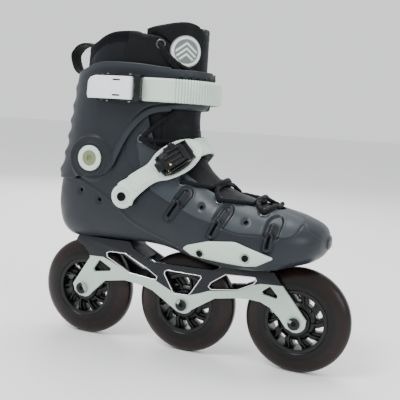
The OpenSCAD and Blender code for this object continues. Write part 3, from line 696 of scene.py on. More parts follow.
def woven(name, colour, light, sheen, pitch=0.0011, **kw):
    """A mesh weave with soft sheen."""
    m = Mat(name, colour, 0.85, Sheen_Weight=sheen, Sheen_Roughness=0.4, **kw)
    turn = m.turned(20, 38, 12)
    w = m.maths("MULTIPLY", m.wave(pitch, "X", turn), m.wave(pitch, "Z", turn))
    m.tint(m.span(w, 0.25, 0.9), light, 0.5)
    m.tint(m.span(m.noise(30, 4, 0.6), 0.5, 0.8), scaled(colour, 0.7), 0.6)
    m.relief(w, 0.6, 0.00022)
    m.relief(m.noise(700, 4, 0.7), 0.35, 0.00012)
    return m.done()


def hide(name, colour, light, rough=0.5, tone_colour=None):
    """Synthetic leather: pebble grain and soft creases."""
    m = Mat(name, colour, rough, Specular_IOR_Level=0.16)
    m.tint(m.span(m.noise(26, 4, 0.6), 0.5, 0.85, smooth=True), light, 0.7)
    if tone_colour is not None:
        m.tint(m.tone(), tone_colour)
    m.relief(m.voronoi(900, "SMOOTH_F1"), 0.45, 0.00022)
    m.relief(m.noise(160, 5, 0.65), 0.3, 0.00045)
    m.roughen(m.noise(120, 4), rough - 0.08, rough + 0.12)
    return m.done()


def braid(name, colour, light, pitch=1.6):
    """Round braided lace; its UVs run along it in mm, and so does pitch."""
    m = Mat(name, colour, 0.6, Sheen_Weight=0.03, Sheen_Roughness=0.35, Specular_IOR_Level=0.14)
    uv = m.node("ShaderNodeUVMap").outputs[0]
    sep = m.node("ShaderNodeSeparateXYZ")
    m.link(uv, sep.inputs[0])
    along, round_ = sep.outputs[0], sep.outputs[1]

    def strand_(sign):
        v = m.maths("ADD", m.maths("MULTIPLY", along, 2 * math.pi / pitch),
                    m.maths("MULTIPLY", round_, sign * 2 * math.pi * 5))
        return m.maths("ABSOLUTE", m.maths("SINE", v))
    w = m.maths("MAXIMUM", strand_(1), strand_(-1))
    m.tint(m.span(w, 0.75, 1.0), light, 0.75)
    m.relief(w, 0.9, 0.0003)
    m.relief(m.noise(1800, 3), 0.4, 0.00006)
    return m.done()


def metal(name, colour, rough=0.3, scratch=0.3):
    """Brushed or turned metal."""
    m = Mat(name, colour, rough, 1.0)
    n = m.noise(900, 4, 0.6)
    m.tint(m.span(n, 0.4, 0.75), scaled(colour, 0.8), 0.5)
    m.roughen(m.noise(70, 5, 0.7), rough - 0.08, rough + 0.12)
    m.relief(n, scratch, 0.00003)
    return m.done()


def anodised(name, colour, rough, metallic):
    """Blasted and anodised aluminium with a faint satin grain."""
    m = Mat(name, colour, rough, metallic)
    m.tint(m.span(m.noise(35, 3), 0.45, 0.8, smooth=True), scaled(colour, 0.9), 0.7)
    m.relief(m.noise(3000, 2, 0.7), 0.35, 0.00004)
    m.roughen(m.noise(110, 5, 0.7), rough - 0.06, rough + 0.1)
    return m.done()


M_LINER = woven("liner_mesh", deep(24, 27, 33, 0.22), deep(40, 45, 54, 0.3), 0.03, Specular_IOR_Level=0.12)
M_COLLAR = hide("collar_leather", deep(34, 39, 48, 0.26), deep(50, 56, 66, 0.3), 0.46, deep(24, 27, 33, 0.25))
M_TONGUE = hide("tongue_leather", deep(24, 28, 35, 0.22), deep(38, 43, 51, 0.28), 0.5, deep(40, 45, 53, 0.3))
M_LACE = braid("lace_braid", deep(18, 20, 25, 0.22), deep(46, 51, 60, 0.3))
M_WEB = woven("loop_webbing", deep(28, 31, 37, 0.25), deep(48, 53, 62, 0.3), 0.08, 0.0009, Specular_IOR_Level=0.2)
M_FOOTBED = woven("footbed_felt", srgb(46, 49, 52), srgb(70, 74, 78), 0.5, 0.0008)
M_STEEL = metal("steel", (0.56, 0.57, 0.59, 1), 0.3)
M_BLACKSTEEL = metal("black_steel", (0.012, 0.0125, 0.014, 1), 0.36)
M_EYELET = metal("eyelet_nickel", (0.10, 0.105, 0.115, 1), 0.28)
M_BRASS = metal("brass", (0.62, 0.45, 0.22, 1), 0.3)
M_CUTEDGE = metal("cut_edge_aluminium", (0.80, 0.84, 0.83, 1), 0.22, scratch=0.15)


def tyre_material():
    """Polyurethane: dark core, brown translucent tread, moulding sheen, fine road dust."""
    m = Mat("tyre_urethane", deep(54, 37, 31, 0.24), 0.26, Specular_IOR_Level=0.24, Coat_Weight=0.04,
            Coat_Roughness=0.12)
    m.tint(m.tone(), deep(20, 20, 23, 0.15))
    m.tint(m.span(m.noise(45, 4, 0.6), 0.5, 0.75, smooth=True), deep(86, 50, 40, 0.28), 0.4)
    m.tint(m.span(m.noise(300, 5, 0.7), 0.6, 0.85), deep(38, 32, 31), 0.5)
    m.roughen(m.noise(130, 5, 0.7), 0.24, 0.40)
    m.relief(m.noise(1500, 3, 0.6), 0.18, 0.00004)
    return m.done()


def hub_material():
    m = Mat("hub_nylon", deep(18, 20, 24, 0.2), 0.24, Specular_IOR_Level=0.3, Coat_Weight=0.05, Coat_Roughness=0.15)
    m.tint(m.span(m.noise(60, 4), 0.5, 0.8), deep(30, 33, 38, 0.25), 0.7)
    m.relief(m.noise(1800, 3), 0.2, 0.00004)
    m.roughen(m.noise(90, 4), 0.2, 0.36)
    return m.done()


M_TYRE, M_HUB = tyre_material(), hub_material()
M_LEVER = lever_plastic()
M_OLIVE = anodised("olive_anodised", deep(150, 158, 118, 0.62), 0.45, 0.2)
M_HEAD = anodised("bolt_head_mint", deep(172, 190, 178, 0.7), 0.36, 0.4)
M_RUBBER = moulded("pale_rubber", srgb(205, 212, 200), 0.6, grain=0.8)
M_SHIELD = metal("bearing_shield", (0.05, 0.05, 0.055, 1), 0.35)
M_BADGE = moulded("badge_rubber", srgb(205, 216, 206), 0.5, srgb(96, 103, 104), grain=0.4)

MINT_LINE = [(-140, 93.6), (-113.9, 93.6), (-98.1, 94), (-87.6, 90.2), (-63.9, 80), (-32.6, 76.6), (-10, 66.3),
             (5.5, 65.4), (20.2, 70.4), (29.9, 74.4), (61.5, 79.2), (78.3, 87.9), (85.5, 90.2), (108.3, 91.2),
             (140, 92)]


def frame_material():
    """Mint below, graphite above a line that follows the windows; both anodised."""
    m = Mat("frame_anodised", srgb(180, 199, 186), 0.4, 0.1, Specular_IOR_Level=0.35)
    x = m.span(m.axis(0), -0.140, 0.140)
    curve_ = m.node("ShaderNodeFloatCurve")
    c = curve_.mapping.curves[0]
    pts = [((px + 140) / 280, (pz - 40) / 80) for px, pz in MINT_LINE]  # the spans of x and z below, in mm
    while len(c.points) < len(pts):
        c.points.new(0.5, 0.5)
    for q, (a, b) in zip(c.points, pts):
        q.location = (a, b)
        q.handle_type = "VECTOR"
    curve_.mapping.update()
    m.link(x, curve_.inputs["Value"])
    z = m.span(m.axis(2), 0.040, 0.120)
    up = m.span(m.maths("SUBTRACT", z, curve_.outputs[0]), 0.0, 0.006)
    up = m.maths("MAXIMUM", up, m.span(m.maths("ABSOLUTE", m.axis(1)), 0.0132, 0.0136, 1.0, 0.0))
    m.tint(m.span(m.noise(35, 3), 0.45, 0.8), srgb(170, 190, 178), 0.6)
    m.tint(up, deep(38, 44, 53, 0.3))
    m.relief(m.noise(3000, 2, 0.7), 0.35, 0.00004)
    m.relief(up, 0.5, 0.0004)
    m.roughen(m.noise(110, 5, 0.7), 0.33, 0.5)
    return m.done()


M_FRAME = frame_material()


# ---------------------------------------------------------------- camera, lights, floor
CAMERA_AT, CAMERA_TURN, LENS = (0.2593, -0.6641, 0.2491), (20.81, 6.52, 3.7), 59.7
WORLD_COLOUR, WORLD_STRENGTH = (0.97, 0.98, 1, 1), 1.15
LIGHTS = [("key", (-0.5, -1.1, 1.7), 0.15, 0.7, 26), ("fill", (1.7, -1.0, 0.9), 0.15, 0.9, 9),
          ("top", (0.1, 0.3, 1.9), 0.15, 1.0, 18), ("rim", (-0.9, 1.4, 1.0), 0.2, 0.8, 12)]


def studio():
    """Camera fitted to the photograph, four soft lamps, a pale world and a floor."""
    az, el, roll = map(math.radians, CAMERA_TURN)
    back = Vector((math.sin(az) * math.cos(el), -math.cos(az) * math.cos(el), math.sin(el)))
    fwd = -back
    right = fwd.cross(Vector((0, 0, 1))).normalized()
    up = right.cross(fwd)
    x = right * math.cos(roll) + up * math.sin(roll)
    y = up * math.cos(roll) - right * math.sin(roll)
    cam = bpy.data.cameras.new("camera")
    cam.lens, cam.sensor_width, cam.clip_start, cam.clip_end = LENS, 36, 0.01, 30
    o = bpy.data.objects.new("camera", cam)
    m = Matrix((x, y, back)).transposed().to_4x4()
    m.translation = Vector(CAMERA_AT)
    o.matrix_world = m
    bpy.context.collection.objects.link(o)
    bpy.context.scene.camera = o

    for name, at, aim_z, size, power in LIGHTS:
        light = bpy.data.lights.new(name, "AREA")
        light.shape, light.size, light.energy = "DISK", size, power
        lo = bpy.data.objects.new(name, light)
        lo.location = at
        lo.rotation_euler = (Vector((0, 0, aim_z)) - Vector(at)).to_track_quat("-Z", "Y").to_euler()
        bpy.context.collection.objects.link(lo)

    world = bpy.data.worlds.new("studio")
    world.use_nodes = True
    background = world.node_tree.nodes["Background"].inputs
    background[0].default_value, background[1].default_value = WORLD_COLOUR, WORLD_STRENGTH
    bpy.context.scene.world = world
    bm = bmesh.new()
    bmesh.ops.create_grid(bm, x_segments=1, y_segments=1, size=25)
    mesh = bpy.data.meshes.new("floor")
    bm.to_mesh(mesh)
    bm.free()
    f = Mat("floor_paper", (0.86, 0.86, 0.86, 1), 0.85)
    f.relief(f.noise(900, 3), 0.1, 0.0001)
    mesh.materials.append(f.done())
    floor = bpy.data.objects.new("floor", mesh)
    bpy.context.collection.objects.link(floor)


studio()


# ---------------------------------------------------------------- side-view outlines (x, z) in mm
TOP = [(104, 168.5), (76, 169.8), (57, 173.5), (38, 178.5), (21, 186), (0, 198), (-18, 210), (-32, 224.7),
       (-37, 236), (-42, 257), (-46, 268), (-72, 268), (-88, 246), (-104, 229), (-125, 220), (-170, 216)]
FLOOR = [(-170, 128), (-60, 127), (20, 116.5), (60, 114), (95, 114.5), (120, 118.5), (150, 127)]
LINER_FLOOR = [(-170, 132.6), (-62, 131.6), (-40, 125.5), (20, 117), (60, 114.5), (95, 115), (120, 119), (150, 127.5)]
PANEL_LINE = [(-34, 178.8), (-24.4, 174), (-12, 168.3), (7.3, 160.6), (19.3, 156.4), (34.1, 153), (56.3, 147.9),
              (67.6, 145.7), (87.3, 145.8), (107.6, 144.6), (116, 146), (122, 151)]
PANEL = PANEL_LINE + [(125, 158), (118, 175), (60, 190), (20, 205), (-20, 240), (-45, 240), (-52, 226), (-46, 196)]
HEEL_LINE = [(-168, 187), (-150, 186), (-129.6, 182.4), (-114.8, 180.1), (-108.9, 176.7), (-98.5, 171.6),
             (-87.6, 166.1), (-74.8, 158), (-65.3, 150.9), (-55.7, 143.2), (-35.2, 133.4), (6.7, 119.6), (30, 112)]
FLAP_LINE = [(-66.2, 225.3), (-63.7, 214.2), (-57.8, 203.3), (-52.3, 197), (-44, 188)]
TOE_LINE = [(152, 135), (142, 145), (128, 156), (120, 168)]
VENTS = [((-6, 160), 32, 11.5, (9.0, 180.5)), ((42.6, 146.5), 24, 10.0, (53, 166)), ((97.5, 139), 7, 9.0, (101, 157.5))]
PORTS = [(25.7, 166.2), (73.1, 156.1), (-117.2, 169.7), (-93.6, 161.5)]
SLOT_R, PORT_R, EYELET_R = 1.5, 2.8, 3.3
SHELL_WALL, CUFF_FACE, CUFF_BACK, LINER_GAP = 3.0, 4.0, 1.2, 3.4


def along_axis(x, z, at, tilt):
    """Coordinates along and across an axis leaning forward by tilt degrees."""
    c, q = math.cos(math.radians(tilt)), math.sin(math.radians(tilt))
    dx, dz = x - at[0], z - at[1]
    return dx * q + dz * c, dx * c - dz * q


def line_gap(line, x, z):
    return near(curve(line, 6), x, z)[0]


def panel_edge(x, z):
    """Signed distance to the raised side panel's edge, positive on the panel."""
    return inside(curve(PANEL_LINE, 6).tolist() + PANEL[len(PANEL_LINE):], x, z)


def vent_shape(x, z, at, tilt, half, top):
    """Along and across a vent's slot, then distances to its hood and to the ring round it."""
    v, u = along_axis(x, z, at, tilt)
    hood_v, hood_u = along_axis(x, z, ((at[0] + 2 * top[0]) / 3, (at[1] + 2 * top[1]) / 3), tilt)
    arch = np.hypot(np.maximum(np.abs(hood_v) - 5, 0), hood_u) - 8.2
    return v, u, arch, np.hypot(np.maximum(np.abs(v) - (half - 3.4), 0), u)


def shell_relief(par):
    p = surf(par[:, 0], par[:, 1])
    x, y, z = p.T
    side = step(np.abs(y), 10, 26)
    d = np.zeros(len(p))
    panel = panel_edge(x, z)
    d += side * (0.5 * step(panel, -0.7, 0.7) - 0.45 * bump(panel + 0.9, 0.8))
    heel = line_gap(HEEL_LINE, x, z)
    low = line_z(HEEL_LINE, x) - z
    d += step(np.abs(y), 4, 14) * (0.75 * bump(heel, 1.2) + 0.4 * step(low, -1, 2))
    d -= side * 0.5 * bump(line_gap(FLAP_LINE, x, z), 0.8)
    d -= 0.35 * bump(line_gap(TOE_LINE, x, z), 0.9)
    for at, tilt, half, top in VENTS:
        v, u, arch, ring = vent_shape(x, z, at, tilt, half, top)
        recess = step(-arch, -1.2, 1.8) * step(v, half - 9, half + 1)
        lip = bump(arch + 0.1, 1.1) * step(v, half - 8, half - 1)
        d += side * (-1.9 * recess + 0.8 * lip)
        top_v = math.hypot(top[0] - at[0], top[1] - at[1]) - 3
        ridge = np.hypot(np.maximum(np.maximum(v - top_v, half - 3 - v), 0), u)
        d += side * 3.6 * bump(ridge, 2.2) * step(v, half - 5, half)
        d += side * (3.0 * bump(ring - 2.7, 1.35) - 1.0 * bump(ring - 5.6, 1.1) * step(-v, -half - 2, -half + 4))
    for q in PORTS:
        r = np.hypot(x - q[0], z - q[1])
        d -= side * 0.7 * step(-r, -5.0, -2.9)
    back = np.hypot(y, z - 168.1)
    d -= step(-x, 140, 150) * 1.6 * step(-back, -5.2, -2.2)
    for s, t in EYELETS:
        for k in (-1, 1):
            e = skin(s, k * t)
            r = np.linalg.norm(p - e, axis=1)
            d -= 0.45 * step(-r, -7.2, -5.2)
    return d


def press_flats(q, p):
    """The frame's two flats under the sole and the hinge pads."""
    x, y, z = q.T
    heel = (x > -142) & (x < -58) & (np.abs(y) < 25) & (z < 125)
    ball = (x > 38) & (x < 104) & (np.abs(y) < 25) & (z < 115)
    q[:, 2] = np.where(heel, np.maximum(z, 115.6), np.where(ball, np.maximum(z, 103.6), z))
    pad = np.hypot(p[:, 0] - PIVOT[0], p[:, 2] - PIVOT[1])
    lift = step(-pad, -25.5, -23.5)
    q[:, 1] = np.where(np.abs(p[:, 1]) > 20, np.sign(y) * (np.abs(y) * (1 - lift) + 44 * lift), y)
    return q


def shell_outer(par):
    p = surf(par[:, 0], par[:, 1])
    return press_flats(surf(par[:, 0], par[:, 1], shell_relief(par)), p)


def shell_inner(par):
    q = surf(par[:, 0], par[:, 1], -SHELL_WALL)
    q[:, 2] = np.maximum(q[:, 2], line_z(FLOOR, q[:, 0]))
    return q


def shell_cut(par):
    """Distance to the nearest edge of the shell, positive on the shell."""
    x, y, z = surf(par[:, 0], par[:, 1]).T
    d = inside(np.vstack([curve(TOP, 6), [(-170, -40), (220, -40), (220, 168.5)]]), x, z)
    d = np.minimum(d, np.where((z > 150) & (x > 40), np.hypot(x - 82, y) - 20, 99))
    out = np.abs(y) > 18
    for at, tilt, half, _ in VENTS:
        v, u = along_axis(x, z, at, tilt)
        slot = np.hypot(np.maximum(np.abs(v) - (half - 4.2), 0), u) - SLOT_R
        d = np.minimum(d, np.where(out, slot, 99))
    for q in PORTS:
        d = np.minimum(d, np.where(out, np.hypot(x - q[0], z - q[1]) - PORT_R, 99))
    for s, t in EYELETS:
        for k in (-1, 1):
            d = np.minimum(d, np.linalg.norm(np.stack([x, y, z], 1) - skin(s, k * t), axis=1) - EYELET_R)
    return d


def shell_tone_and_painted_light(par):
    # Panel colour, with painted shade in grooves, vent recesses and port rims and a painted highlight along the heel
    # line.
    x, y, z = surf(par[:, 0], par[:, 1]).T
    panel = panel_edge(x, z)
    side = step(np.abs(y), 10, 26)
    t = step(panel, -0.8, 0.8) * step(np.abs(y), 4, 12) * (1 - 0.45 * step(-x, -5, 45))
    t = t + 0.2 * step(x, 60, 130) * (panel < 0)
    # painted shade in the groove along the panel's edge
    t -= 0.5 * side * bump(panel + 0.9, 0.9)
    for at, tilt, half, top in VENTS:
        v, u, arch, ring = vent_shape(x, z, at, tilt, half, top)
        # inside the hood and round the ring the colour falls back to slate, which in the hood stands in for the
        # recess's shade; the hood's sides, the groove round the ring and the slot's edge get painted shade
        hood_shade_mask = step(-arch, -0.6, 1.2) * step(v, half - 9, half - 2)
        t = t * (1 - side * np.maximum(hood_shade_mask, step(-ring, -7, -5.5)))
        t -= side * (0.55 * hood_shade_mask * step(np.abs(u), 2.4, 4.5) + 0.6 * bump(ring - 5.4, 1.0) + 0.8 * bump(ring, 1.6))
    for q in PORTS:
        # painted shade in each port's countersink
        t -= side * 0.7 * bump(np.hypot(x - q[0], z - q[1]) - 3.4, 1.2)
    heel = line_gap(HEEL_LINE, x, z)
    # a painted highlight along the heel line, with painted shade in a band on each side
    t += 0.55 * bump(heel, 1.0) - 0.45 * bump(heel - 2.4, 1.3)
    # painted shade in the groove of the flap's seam
    return np.clip(t - 0.6 * side * bump(line_gap(FLAP_LINE, x, z), 0.9), -1, 1)


ROUND = np.linspace(-180, 180, steps(330) + 1)
TOE_ROWS = -1 + np.linspace(0, 1, steps(30)) ** 0.6
SHELL_ROWS = np.concatenate([TOE_ROWS, np.linspace(0, 18.4, steps(440))[1:]])
take(wall("boot_shell", SHELL_ROWS, ROUND, shell_cut, shell_outer, shell_inner, M_SHELL, tone=shell_tone_and_painted_light, flip=True),
     "boot", "shell", "shell")


# ---------------------------------------------------------------- cuff
CUFF = [(-170, 181), (-127, 183.5), (-118, 187), (-88, 190), (-78, 198), (-71.5, 211), (-65.5, 223.5), (-58, 236),
        (-48, 248), (-37, 256.5), (-20, 260), (3, 262.5), (40, 264.5), (40, 301), (18, 302.5), (-2, 302), (-27, 303.5),
        (-53, 306), (-82, 307), (-100, 305.5), (-114, 301), (-132, 296.5), (-170, 295)]
CUFF_LOW = curve(CUFF[:12], 6)
CUFF_TOP = curve(CUFF[14:], 6)
BOSS_R, BOSS_Y = 22.5, 48.5
RIBS = [192, 211, 229, 246, 262, 281]


def cuff_cut(par):
    x, y, z = surf(par[:, 0], par[:, 1]).T
    d = inside(np.vstack([CUFF_LOW, [(60, 265)], [(60, 301)], CUFF_TOP]), x, z)
    gap = np.abs(y - 7.5) - 4.5
    corner = 6 - np.hypot(np.maximum(6 - gap, 0), np.maximum(np.abs(z - 282) - 13.5, 0))
    return np.minimum(d, np.where((x > -20) & (z > 250), np.minimum(gap, corner), 99))


def cuff_outer(par):
    p = surf(par[:, 0], par[:, 1])
    x, y, z = p.T
    side = step(np.abs(y), 12, 24)
    d = np.full(len(p), CUFF_FACE)
    rear = step(-x, 126, 146)
    for zr in RIBS:
        d += rear * 3.0 * bump(z - zr, 5.2) * step(-np.abs(y), -30, -14)
    low_edge = near(CUFF_LOW, x, z)[0]
    d += side * (0.9 * step(-low_edge, -6.5, -4.5) - 0.5 * bump(low_edge - 7.2, 0.9)) * (x > -80)
    front = step(x, -22, -10)
    d += front * 0.7 * step(-np.abs(z - 266.5), -5.0, -3.2)
    notches = 0.5 + 0.5 * np.sign(np.sin(np.degrees(np.arctan2(y, x + 60)) * 0.9))
    d += front * 0.8 * (z > 292) * bump(z - 295.5, 1.6) * notches
    q = surf(par[:, 0], par[:, 1], d)
    r = np.hypot(x - PIVOT[0], z - PIVOT[1])
    lift = step(-r, -27, -BOSS_R)
    crown = BOSS_Y - 0.7 * bump(r - 19.2, 0.9) + 0.25 * step(-r, -18.5, -17)
    out = np.abs(p[:, 1]) > 20
    q[:, 1] = np.where(out, np.sign(y) * (np.abs(q[:, 1]) * (1 - lift) + crown * lift), q[:, 1])
    return q


def cuff_inner(par):
    p = surf(par[:, 0], par[:, 1])
    q = surf(par[:, 0], par[:, 1], CUFF_BACK)
    r = np.hypot(p[:, 0] - PIVOT[0], p[:, 2] - PIVOT[1])
    lift = step(-r, -27.5, -25)
    out = np.abs(p[:, 1]) > 20
    q[:, 1] = np.where(out, np.sign(p[:, 1]) * np.maximum(np.abs(q[:, 1]), 44.6 * lift), q[:, 1])
    return q


def cuff_tone_and_shade(par):
    x, y, z = surf(par[:, 0], par[:, 1]).T
    top, low = near(CUFF_TOP, x, z)[0], near(CUFF_LOW, x, z)[0]
    side = step(np.abs(y), 12, 24)
    # lighter along the top rim and the raised lower edge; painted shade in the groove above the lower edge
    t = 0.5 * step(-top, -7, -2) + 0.3 * step(-low, -6, -2) * (x > -80) - 0.5 * side * bump(low - 7.4, 1.0) * (x > -80)
    t += 0.35 * step(x, -22, -10) * step(-np.abs(z - 265), -4.5, -3.0)
    r = np.hypot(x - PIVOT[0], z - PIVOT[1])
    # painted shade in the groove round the pivot boss and at the boss's foot
    return np.clip(t - 0.5 * side * bump(r - 19.2, 1.0) - 0.35 * side * bump(r - 25, 2.0), -1, 1)


take(wall("hinged_cuff", np.linspace(12.4, 20.4, steps(300)), ROUND, cuff_cut, cuff_outer, cuff_inner, M_CUFF,
          tone=cuff_tone_and_shade, flip=True), "cuff", "cuff", "cuff")


# ---------------------------------------------------------------- liner and tongue, from toe to collar
SPLIT = [(-170, 199.5), (-106, 204), (160, 313)]
LINER_EDGE = [(112, 161), (104, 163.2), (76, 164.5), (57, 168.2), (38, 173.2), (21, 180.7), (0, 192.7), (-16, 204.7),
              (-25, 217), (-28, 232), (-28, 262), (-23, 284), (-14.5, 298), (-13.5, 309), (-17.5, 321), (-28, 331),
              (-41, 338), (-60, 346)]
COLLAR_TOP = [(-170, 322), (-132, 324), (-114, 328), (-101, 334), (-89, 337.5), (-78, 338.5), (-60, 338.5), (-41, 335),
              (60, 326)]
COLLAR_SEAM = [(-67.9, 340), (-68.4, 333.4), (-71, 320), (-74.5, 307.5), (-78, 292)]
HEEL_ARC = [(-136, 300), (-124, 312), (-108, 322), (-92, 327), (-72, 328)]
TONGUE_TOP = [(-60, 339), (-30, 346), (-8, 350), (3, 347), (8, 341), (60, 336)]


def liner_edge(x, z):
    """Signed distance to the liner's front edge in side view, positive on the liner."""
    return inside(np.vstack([curve(LINER_EDGE, 6), [(-240, 345), (-240, -60), (240, -60), (240, 161)]]), x, z)


def pad_depth(x, z):
    """How far the liner's face lies under the boot surface."""
    over = z - np.interp(x, *np.array(SPLIT).T)
    return LINER_GAP + 2.0 * step(over, -10, 4)


def liner_cut(par, tongue):
    x, _, z = surf(par[:, 0], par[:, 1], -LINER_GAP).T
    body = liner_edge(x, z)
    top = line_z(TONGUE_TOP if tongue else COLLAR_TOP, x) - z
    if not tongue:
        return np.minimum(body, top)
    behind = np.minimum(x + 47, z - 296)
    return np.minimum(np.maximum(-body - 0.5, behind), top)


def liner_relief(par, tongue):
    x, y, z = surf(par[:, 0], par[:, 1]).T
    d = np.zeros(len(x))
    if tongue:
        edge = line_gap(LINER_EDGE, x, z)
        d += 0.6 * bump(edge - 3.2, 1.2) - 0.7 * bump(edge - 5.6, 0.8)
        for k in (-13, 13):
            d -= 0.9 * bump(y - k, 0.9) * step(z, 236, 250) * step(-z, -341, -334)
        for zq in (246, 262, 278):
            d -= 0.7 * bump(z - zq, 0.9) * step(-np.abs(y), -13, -12)
        top = line_z(TONGUE_TOP, x) - z
        d += 0.5 * bump(top - 3.0, 1.4) - 0.6 * bump(top - 5.8, 0.8)
        return d
    top = line_z(COLLAR_TOP, x) - z
    high = step(z, 285, 300)
    d += high * (0.6 * bump(top - 2.6, 1.5) - 0.7 * bump(top - 5.4, 0.8))
    d -= 0.8 * bump(line_gap(COLLAR_SEAM, x, z), 0.9) * (np.abs(y) > 12)
    d += 0.9 * step(x, -74, -66) * high * step(-np.abs(z - 318), -24, -8)
    d -= 0.6 * bump(line_gap(HEEL_ARC, x, z), 0.9) * high
    d -= 0.7 * bump(line_gap(LINER_EDGE, x, z) - 4.6, 0.8) * step(z, 255, 265)
    d += 1.2 * bump(y, 16) * bump(z - 305, 22) * (x < -110)
    return d


def sunk(x, z, tongue):
    """The collar thins towards the front and the tongue lies under it."""
    high = step(z, 280, 294)
    return high * (3.9 * step(liner_edge(x, z), -7, -0.4) if tongue else -2.9 * step(x, -62, -50))


def soft_wall(tongue):
    def outer(par):
        x, _, z = surf(par[:, 0], par[:, 1]).T
        low = sunk(x, z, True) if tongue else 0
        q = surf(par[:, 0], par[:, 1], -pad_depth(x, z) - low + liner_relief(par, tongue) * 0.55)
        q[:, 2] = np.maximum(q[:, 2], line_z(LINER_FLOOR, q[:, 0]))
        return q

    def inner(par):
        x, _, z = surf(par[:, 0], par[:, 1]).T
        over = step(z, 200, 250)
        low = sunk(x, z, tongue) * (0.8 if tongue else 1)
        q = surf(par[:, 0], par[:, 1], -pad_depth(x, z) - 5.6 - 0.8 * over - low)
        q[:, 2] = np.maximum(q[:, 2], line_z(LINER_FLOOR, q[:, 0]) + 4)
        return q
    return outer, inner


def liner_tone(par):
    x, _, z = surf(par[:, 0], par[:, 1]).T
    return step(x, -74.6, -73.4) * step(z, 285, 300) * 0.9


def liner_region(par):
    """1 where the liner is leather and 0 where it is mesh."""
    x, _, z = surf(par[:, 0], par[:, 1]).T
    seam_x, seam_z = np.array(COLLAR_SEAM[::-1]).T
    rear = (line_z(HEEL_ARC, x) > z) & (x > -140)
    return ((x > np.interp(z, seam_z, seam_x)) | rear | (z < 230)).astype(float)


SOFT_ROWS = np.concatenate([[1.0, 1.3], np.linspace(1.6, 20.85, steps(330))])
for name, tongue, mats, tone, region in (
        ("padded_liner", False, [M_LINER, M_COLLAR], liner_tone, liner_region),
        ("padded_tongue", True, [M_TONGUE], None, None)):
    outer, inner = soft_wall(tongue)
    o = wall(name, SOFT_ROWS, np.linspace(-180, 180, steps(300) + 1), lambda q, tongue=tongue: liner_cut(q, tongue),
             outer, inner, mats, tone=tone, round_=1.15, rings=6, region=region, flip=True)
    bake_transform(o)
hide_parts("liner_boot", "liner_collar")
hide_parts("tongue_lower", "tongue_upper")


# ---------------------------------------------------------------- laces
LACE_R = 2.35
LACE_REST, LACE_PROUD, LACE_START = -0.6, 2.2, 3.2
LACE_FRONT = [4, 5.35, 6.7, 9.5]
LACE_EDGE = [12, 31, 42, 56]


def strand(i, j, side, hump):
    a, b = EYELETS[i], EYELETS[j]
    front = (LACE_FRONT[i] + LACE_FRONT[j]) / 2
    f = np.linspace(0, 1, 64)
    m = 1 - (2 * f - 1) ** 2
    t = -a[1] + (a[1] + b[1]) * f
    edge = np.where(f < 0.5, LACE_EDGE[i], LACE_EDGE[j])
    sunk = step(edge - np.abs(t), 0, 9)
    end = np.maximum(0, 1 - m * 2.5)
    d = LACE_PROUD + (LACE_REST - LACE_PROUD) * sunk + (LACE_START - LACE_PROUD) * end
    d += hump * step(4 * m - 3, 0, 1)
    path = skin((a[0] + (b[0] - a[0]) * f) * (1 - m) + front * m, side * t, d)
    down = [skin(a[0], -side * a[1], v) for v in (-2.6, -1.2, 0.4, 1.8)]
    up = [skin(b[0], side * b[1], v) for v in (1.8, 0.4, -1.2, -2.6)]
    return softened(np.vstack([down, path, up]), 4)


def lace(name, path):
    n = len(path)
    run = np.cumsum(np.r_[0, np.linalg.norm(np.diff(path, axis=0), axis=1)])
    fine = np.linspace(0, run[-1], max(n, int(run[-1] / 0.9)))
    p = np.stack([np.interp(fine, run, path[:, k]) for k in range(3)], 1)
    r = LACE_R * (1 + 0.05 * np.sin(fine * 0.9) + 0.03 * np.sin(fine * 2.3 + 1))
    return tube(name, softened(p, 2), r, M_LACE, sides=14)


pieces = [lace("s", strand(0, 0, 1, 0)), lace("s", strand(3, 3, 1, 0))]
for i in range(3):
    pieces += [lace("s", strand(i, i + 1, 1, 0)), lace("s", strand(i, i + 1, -1, 3.9))]
take(join("crossed_laces", pieces), "boot", "lace", "laces")

COLLAR_EYELET = (19.8, 66)


def upper_strand(side, lift):
    """From the top shell eyelet over the tongue to the opposite collar eyelet, under the cuff's front."""
    a, b = EYELETS[3], COLLAR_EYELET
    f = np.linspace(0, 1, 80)
    t = -a[1] + (a[1] + b[1]) * f
    s = a[0] + (b[0] - a[0]) * np.power(f, 0.9)
    d = 2.6 + (-3.1 - 2.6) * step(f, 0.07, 0.2) + lift * np.exp(-((f - 0.5) / 0.07) ** 2)
    path = skin(s, side * t, d)
    down = [skin(a[0], -side * a[1], v) for v in (-2.6, -1.2, 0.4, 1.6)]
    up = [skin(b[0], side * b[1], v) for v in (-3.6, -4.8, -6.4)]
    return softened(np.vstack([down, path, up]), 4)


def collar_strand(low, depth):
    f = np.linspace(0, 1, 70)
    t = -COLLAR_EYELET[1] + 2 * COLLAR_EYELET[1] * f
    m = 1 - (2 * f - 1) ** 2
    path = skin(COLLAR_EYELET[0] + (low - COLLAR_EYELET[0]) * m ** 0.8, t, depth + 0 * t)
    ends = [skin(COLLAR_EYELET[0], k * COLLAR_EYELET[1], -6.6) for k in (-1, 1)]
    return softened(np.vstack([ends[:1], path, ends[1:]]), 4)


pieces = [lace("u", upper_strand(1, 0.4)), lace("u", upper_strand(-1, 3.0))]
upper = join("upper_laces", pieces)
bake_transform(upper)
take(join("collar_laces", [lace("c", collar_strand(18.3, -3.3)), lace("c", collar_strand(18.75, -3.2))]),
     "cuff", "lace")


# ---------------------------------------------------------------- eyelets
def eyelet(s, t, r0, r1, high, low):
    profile = [(r0, low), (r0, high - 0.5), (r0 + 0.25, high - 0.1), ((r0 + r1) / 2, high), (r1 - 0.3, high - 0.2),
               (r1, high - 0.6), (r1 - 0.1, low)]
    return stand(lathe("e", profile, (0, 0, 0), M_EYELET, sides=40, axis="z"), on_skin(s, t))


